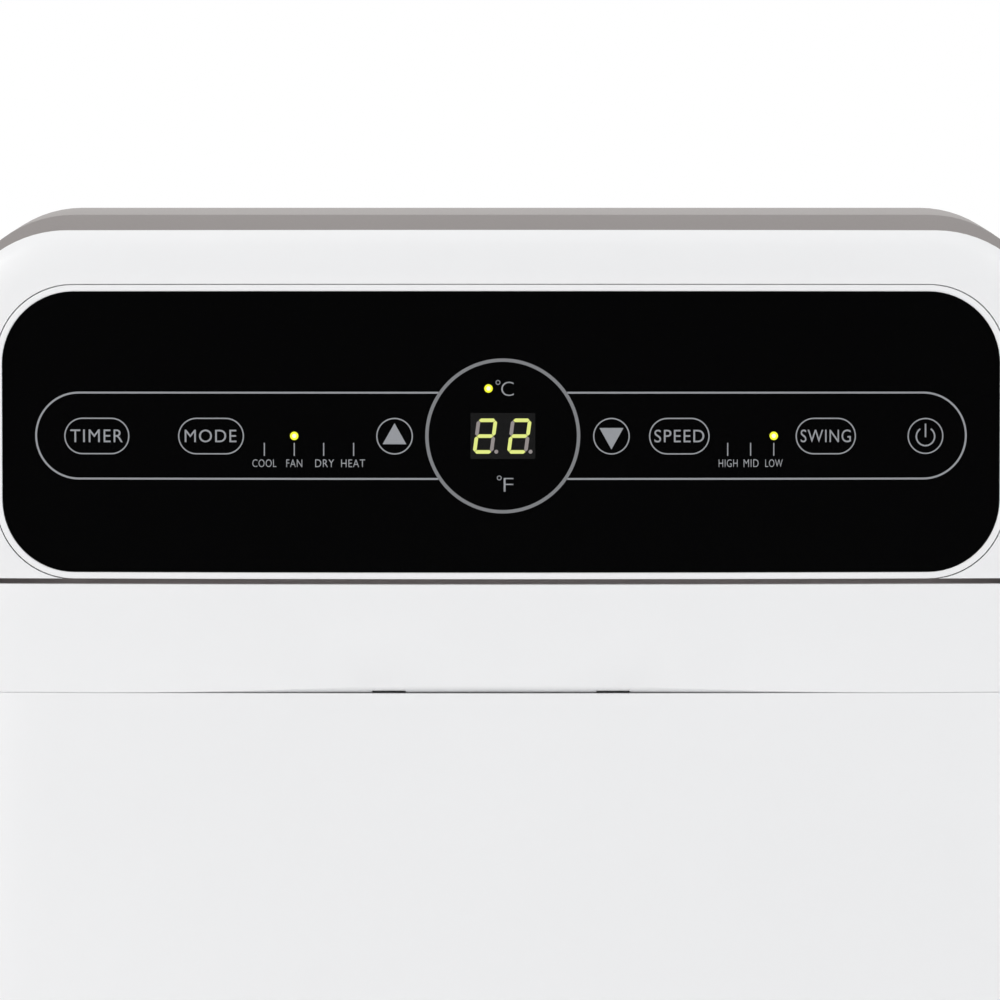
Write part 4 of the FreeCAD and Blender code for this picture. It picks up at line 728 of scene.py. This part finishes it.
def buildGuardTree():
    # upright bars over a round opening, each as long as the chord where it stands, and one level bar
    tree, given, sink = startTree("roundGuard", [("Count", "Int"), ("Radius", "Float"), ("Pitch", "Float"),
                                                 ("Bar Width", "Float"), ("Bar Depth", "Float"),
                                                 ("Centre", "Vector"), ("Finish", "Material")])
    gaps = mathNode(tree, "SUBTRACT", given["Count"], 1.0)
    reach = mathNode(tree, "MULTIPLY", gaps, given["Pitch"])
    startX = mathNode(tree, "MULTIPLY", reach, -0.5)
    start = addNode(tree, "ShaderNodeCombineXYZ", [("X", startX)])
    step = addNode(tree, "ShaderNodeCombineXYZ", [("X", given["Pitch"])])
    line = pointLine(tree, given["Count"], step.outputs[0], ("Start Location", start.outputs[0]))
    spot = addNode(tree, "GeometryNodeInputPosition")
    parts = addNode(tree, "ShaderNodeSeparateXYZ", [(0, spot.outputs[0])])
    squareX = mathNode(tree, "POWER", parts.outputs["X"], 2.0)
    squareR = mathNode(tree, "POWER", given["Radius"], 2.0)
    halfChord = mathNode(tree, "SQRT", mathNode(tree, "SUBTRACT", squareR, squareX))
    chord = mathNode(tree, "MULTIPLY", halfChord, 2.0)
    stretch = addNode(tree, "ShaderNodeCombineXYZ",
                      [("X", given["Bar Width"]), ("Y", given["Bar Depth"]), ("Z", chord)])
    unitBar = addNode(tree, "GeometryNodeMeshCube").outputs[0]
    bars = copyOnto(tree, line, unitBar, ("Scale", stretch.outputs[0]))
    across = mathNode(tree, "MULTIPLY", given["Radius"], 2.0)
    tieSize = addNode(tree, "ShaderNodeCombineXYZ",
                      [("X", across), ("Y", given["Bar Depth"]), ("Z", given["Bar Width"])])
    both = joinShapes(tree, (bars, barShape(tree, tieSize.outputs[0])))
    placed = moveShape(tree, both, "Translation", given["Centre"])
    return finishTree(tree, placed, given["Finish"], sink)


def buildScrewTree():
    # cross-headed screws on the seed mesh's points, each stopped at its own turn
    tree, given, sink = startTree("crossHeads", [("Head Radius", "Float"), ("Head Height", "Float"),
                                                 ("Top Share", "Float"), ("Slot Lift", "Float"),
                                                 ("Cross Length", "Float"), ("Cross Width", "Float"),
                                                 ("Seed", "Int"), ("Finish", "Material")])
    topRadius = mathNode(tree, "MULTIPLY", given["Head Radius"], given["Top Share"])
    head = addNode(tree, "GeometryNodeMeshCone",
                   [("Vertices", 32), ("Radius Top", topRadius), ("Radius Bottom", given["Head Radius"]),
                    ("Depth", given["Head Height"])])
    cross = addNode(tree, "GeometryNodeMeshBoolean", operation="UNION")
    for along, over in (("X", "Y"), ("Y", "X")):
        size = addNode(tree, "ShaderNodeCombineXYZ",
                       [(along, given["Cross Length"]), (over, given["Cross Width"]),
                        ("Z", given["Head Height"])])
        tree.links.new(barShape(tree, size.outputs[0]), cross.inputs[1])
    lift = mathNode(tree, "MULTIPLY", given["Head Height"], given["Slot Lift"])
    liftVector = addNode(tree, "ShaderNodeCombineXYZ", [("Z", lift)])
    raised = moveShape(tree, cross.outputs[0], "Translation", liftVector.outputs[0])
    cutHead = addNode(tree, "GeometryNodeMeshBoolean", [(0, head.outputs[0]), (1, raised)],
                      operation="DIFFERENCE")
    spread = copyOnto(tree, given["Geometry"], cutHead.outputs[0])
    stopped = addNode(tree, "FunctionNodeRandomValue", [(2, 0.0), (3, math.pi / 2), ("Seed", given["Seed"])],
                      data_type="FLOAT")
    twist = addNode(tree, "ShaderNodeCombineXYZ", [("Z", stopped.outputs[1])])
    faced = addNode(tree, "GeometryNodeRotateInstances",
                    [("Instances", spread), ("Rotation", (-math.pi / 2, 0.0, 0.0))])
    twisted = addNode(tree, "GeometryNodeRotateInstances",
                      [("Instances", faced.outputs[0]), ("Rotation", twist.outputs[0])])
    return finishTree(tree, twisted.outputs[0], given["Finish"], sink)


trees = {"row": buildRowTree(), "ring": buildRingTree(), "weave": buildWeaveTree(), "guard": buildGuardTree(),
         "screws": buildScrewTree()}


def growPiece(name, treeName, values, body, slotName, points=()):
    seedMesh = bpy.data.meshes.new(name + "Seed")
    seedMesh.from_pydata([tuple(point) for point in points], [], [])
    holder = bpy.data.objects.new(name + "Seed", seedMesh)
    bpy.context.scene.collection.objects.link(holder)
    modifier = holder.modifiers.new("grow", "NODES")
    modifier.node_group = trees[treeName]
    given = dict(values, Finish=finishes[slotName])
    for item in trees[treeName].interface.items_tree:
        if item.item_type == "SOCKET" and item.in_out == "INPUT" and item.name in given:
            modifier[item.identifier] = given[item.name]
    mesh = bpy.data.meshes.new_from_object(holder.evaluated_get(bpy.context.evaluated_depsgraph_get()))
    bpy.data.objects.remove(holder)
    mesh.name = name
    piece = addPiece(name, mesh, body, slotName)
    print("grown %s: %d faces" % (name, len(mesh.polygons)))
    return piece


def corners(name):
    low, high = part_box(name)
    return Vector(low), Vector(high)


# coil fins
finPlan = {"pitch": 2.0, "thick": 0.25, "proud": 0.7, "endPlate": 2.5, "coreSet": 2.0, "short": 0.5}
for name in ("evaporator_coil", "condenser_coil"):
    low, high = corners(name)
    inset = finPlan["endPlate"] * mm
    count = int((high.x - low.x - 2 * inset) / (finPlan["pitch"] * mm))
    step = (high.x - low.x - 2 * inset) / count
    depth = high.y - low.y - 2 * (finPlan["coreSet"] - finPlan["proud"]) * mm
    growPiece(name.split("_")[0] + "Fins", "row",
              {"Count": count,
               "Start": (low.x + inset + step / 2, (low.y + high.y) / 2, (low.z + high.z) / 2),
               "Step": (step, 0.0, 0.0),
               "Bar Size": (finPlan["thick"] * mm, depth, high.z - low.z - finPlan["short"] * mm)},
              "cabinet", "fins")

# filter weave, just behind each grille
weavePlan = {"pitch": 3.0, "thread": 0.45, "border": 6.0, "set": 1.1, "levelShare": 0.8}
for tag in ("upper", "lower"):
    low, high = corners(tag + "_filter")
    border = weavePlan["border"] * mm
    wide, tall = high.x - low.x - 2 * border, high.z - low.z - 2 * border
    thread = weavePlan["thread"] * mm
    uprights, levels = (int(side / (weavePlan["pitch"] * mm)) for side in (wide, tall))
    growPiece(tag + "FilterWeave", "weave",
              {"Uprights": uprights, "Levels": levels,
               "Corner": (low.x + border, high.y - weavePlan["set"] * mm, low.z + border),
               "Upright Step": (wide / uprights, 0.0, 0.0), "Level Step": (0.0, 0.0, tall / levels),
               "Upright Size": (thread, thread, tall),
               "Level Size": (wide, thread * weavePlan["levelShare"], thread)},
              body_of(nodes[tag + "_filter"])[0], "filter_mesh")

# rear screws
screwPlan = {"Head Radius": 3.9 * mm, "Head Height": 1.35 * mm, "Top Share": 0.74, "Slot Lift": 0.95,
             "Cross Length": 4.2 * mm, "Cross Width": 0.9 * mm, "Seed": 7}
screwReach = 10 * mm  # points nearer than this are of one screw
screwSeat = corners("rear_screws")[0].y


def screwSpots():
    # the middle of each screw that the frame carries
    spots = []
    for vertex in nodes["rear_screws"].data.vertices:
        for spot in spots:
            if math.hypot(vertex.co.x - spot[0].x, vertex.co.z - spot[0].z) < screwReach:
                spot.append(vertex.co.copy())
                break
        else:
            spots.append([vertex.co.copy()])
    middles = []
    for spot in spots:
        xs, zs = [p.x for p in spot], [p.z for p in spot]
        middles.append(((min(xs) + max(xs)) / 2, screwSeat, (min(zs) + max(zs)) / 2))
    return middles


screws = growPiece("rearScrewHeads", "screws", screwPlan, "cabinet", "steel", points=screwSpots())
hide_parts("rear_screws")

# guard inside the exhaust outlet
guardPlan = {"Count": 11, "Radius": 64.1 * mm, "Pitch": 11.2 * mm, "Bar Width": 1.8 * mm,
             "Bar Depth": 1.6 * mm}
guardSet = 1.2 * mm  # how far inside the collar's foot it stands
collarLow, collarHigh = corners("exhaust_collar")
guardMiddle = ((collarLow.x + collarHigh.x) / 2, collarLow.y - guardSet, (collarLow.z + collarHigh.z) / 2)
growPiece("exhaustGuard", "guard", dict(guardPlan, Centre=guardMiddle), "cabinet", "dark_plastic")

# knurl round the drain cap
knurlPlan = {"count": 24, "rib": 0.5, "proud": 0.25, "sunk": 0.1, "short": 2.4}
capLow, capHigh = corners("drain_cap")
capRadius = (capHigh.x - capLow.x) / 2
growPiece("drainCapKnurl", "ring",
          {"Count": knurlPlan["count"], "Radius": capRadius - knurlPlan["sunk"] * mm,
           "Bar Size": (2 * knurlPlan["proud"] * mm, knurlPlan["rib"] * mm,
                        capHigh.y - capLow.y - knurlPlan["short"] * mm),
           "Axis Turn": (math.pi / 2, 0.0, 0.0), "Centre": tuple((capLow + capHigh) / 2)},
          "drain_cap", "dark_plastic")

# spokes on the caster wheels
spokePlan = {"count": 7, "middle": 10.5, "length": 8.0, "width": 1.5, "proud": 0.35, "rimShare": 0.9}
for tag in ("front_left", "front_right", "rear_left", "rear_right"):
    wheel = nodes["caster_wheel_" + tag]
    low, high = corners("caster_wheel_" + tag)
    radius = (high.z - low.z) / 2
    middle = (low + high) / 2
    rimRadius = radius * spokePlan["rimShare"]
    rim = [vertex.co.x for vertex in wheel.data.vertices if (vertex.co - middle).yz.length > rimRadius]
    growPiece("casterSpokes_" + tag, "ring",
              {"Count": spokePlan["count"], "Radius": spokePlan["middle"] * mm,
               "Bar Size": (spokePlan["length"] * mm, spokePlan["width"] * mm,
                            max(rim) - min(rim) + 2 * spokePlan["proud"] * mm),
               "Axis Turn": (0.0, math.pi / 2, 0.0), "Centre": tuple(middle)},
              body_of(wheel)[0], "wheel_plastic")

# finger ribs under the top of each side handle
gripPlan = {"count": 13, "pitch": 7.6, "rib": 1.6, "drop": 1.2, "clear": 2.2, "cupRise": 3.0, "inward": 1.4}
for hollow in frame["record"]["physics"].get("openings", []):
    low, high = (Vector(corner) for corner in hollow["box_m"])
    side = 1 if low.x > 0 else -1
    cupTop = high.z + gripPlan["cupRise"] * mm
    reach = (high.x - low.x) - gripPlan["clear"] * mm
    middleX = (low.x + high.x) / 2 - side * gripPlan["inward"] * mm
    growPiece("gripRibs" + ("Right" if side > 0 else "Left"), "row",
              {"Count": gripPlan["count"], "Step": (0.0, gripPlan["pitch"] * mm, 0.0),
               "Start": (middleX, -gripPlan["pitch"] * mm * (gripPlan["count"] - 1) / 2,
                         cupTop - gripPlan["drop"] * mm / 2),
               "Bar Size": (reach, gripPlan["rib"] * mm, gripPlan["drop"] * mm)}, "cabinet", "grey_case")
print("repeated details grown")


# ---- camera, floor and light
cameraPlan = {"x": -0.0004, "distance": 1.8, "eyeHeight": 0.6643, "tilt": 2.037, "lens": 162.0,
              "sensor": 36.0, "near": 0.05, "far": 50.0}
backdrop = {"sideLight": 0.685, "skyLight": 0.825, "riseFrom": -0.2, "riseTo": 0.9,
            "cardLight": 0.02, "cardFrom": 0.78, "cardTo": 0.93}
studioLamps = [  # name, place, target, size, power, colour
    ("keyLamp", (-2.2, -1.9, 1.5), (0, 0, 0.5), (1.3, 1.6), 27.5, (1.0, 0.99, 0.98)),
    ("fillLamp", (2.3, -1.8, 1.3), (0, 0, 0.5), (1.3, 1.6), 19.5, (0.98, 0.99, 1.0)),
    ("topLamp", (0, -0.4, 2.8), (0, 0, 0.4), (2.0, 1.6), 3.5, (1.0, 1.0, 1.0))]
floorReach = 7.0


def aimedLamp(name, place, target, size, power, colour):
    lamp = bpy.data.lights.new(name, "AREA")
    lamp.shape = "RECTANGLE"
    lamp.size, lamp.size_y = size
    lamp.energy = power
    lamp.color = colour
    holder = bpy.data.objects.new(name, lamp)
    holder.location = place
    holder.rotation_euler = (Vector(target) - Vector(place)).to_track_quat("-Z", "Y").to_euler()
    bpy.context.scene.collection.objects.link(holder)


def buildWorld():
    # white backdrop; the light comes from above and the sides, with a dark card behind the camera
    world = bpy.data.worlds.new("paleStudio")
    bpy.context.scene.world = world
    world.use_nodes = True
    tree = world.node_tree
    back = tree.nodes["Background"]
    aim = addNode(tree, "ShaderNodeTexCoord").outputs["Generated"]
    parts = addNode(tree, "ShaderNodeSeparateXYZ", [(0, aim)])
    ahead = mathNode(tree, "MULTIPLY", parts.outputs["Y"], -1.0)
    card = addNode(tree, "ShaderNodeMapRange",
                   [("Value", ahead), ("From Min", backdrop["cardFrom"]), ("From Max", backdrop["cardTo"]),
                    ("To Min", 1.0), ("To Max", backdrop["cardLight"])], interpolation_type="SMOOTHSTEP")
    rise = addNode(tree, "ShaderNodeMapRange",
                   [("Value", parts.outputs["Z"]), ("From Min", backdrop["riseFrom"]),
                    ("From Max", backdrop["riseTo"]), ("To Min", backdrop["sideLight"]),
                    ("To Max", backdrop["skyLight"])])
    light = mathNode(tree, "MULTIPLY", card.outputs[0], rise.outputs[0])
    seen = addNode(tree, "ShaderNodeLightPath")
    power = addNode(tree, "ShaderNodeMix", [(0, seen.outputs["Is Camera Ray"]), (2, light), (3, 1.0)],
                    data_type="FLOAT")
    back.inputs["Color"].default_value = (1.0, 1.0, 1.0, 1.0)
    tree.links.new(power.outputs[0], back.inputs["Strength"])


def buildStudio():
    lens = bpy.data.cameras.new("productCamera")
    lens.lens = cameraPlan["lens"]
    lens.sensor_width = cameraPlan["sensor"]
    lens.clip_start = cameraPlan["near"]
    lens.clip_end = cameraPlan["far"]
    camera = bpy.data.objects.new("productCamera", lens)
    camera.location = (cameraPlan["x"], cadBox[0][1] - cameraPlan["distance"], cameraPlan["eyeHeight"])
    camera.rotation_euler = (math.radians(90 - cameraPlan["tilt"]), 0, 0)
    bpy.context.scene.collection.objects.link(camera)
    bpy.context.scene.camera = camera
    bpy.context.scene.view_settings.view_transform = "Standard"
    buildWorld()
    for lamp in studioLamps:
        aimedLamp(*lamp)
    floorMesh = bpy.data.meshes.new("paleFloor")
    signs = ((-1, -1), (1, -1), (1, 1), (-1, 1))
    floorMesh.from_pydata([(x * floorReach, y * floorReach, 0) for x, y in signs], [], [(0, 1, 2, 3)])
    floorMesh.materials.append(finishes["paleFloor"])
    floor = bpy.data.objects.new("paleFloor", floorMesh)
    bpy.context.scene.collection.objects.link(floor)


buildStudio()
print("studio lit")
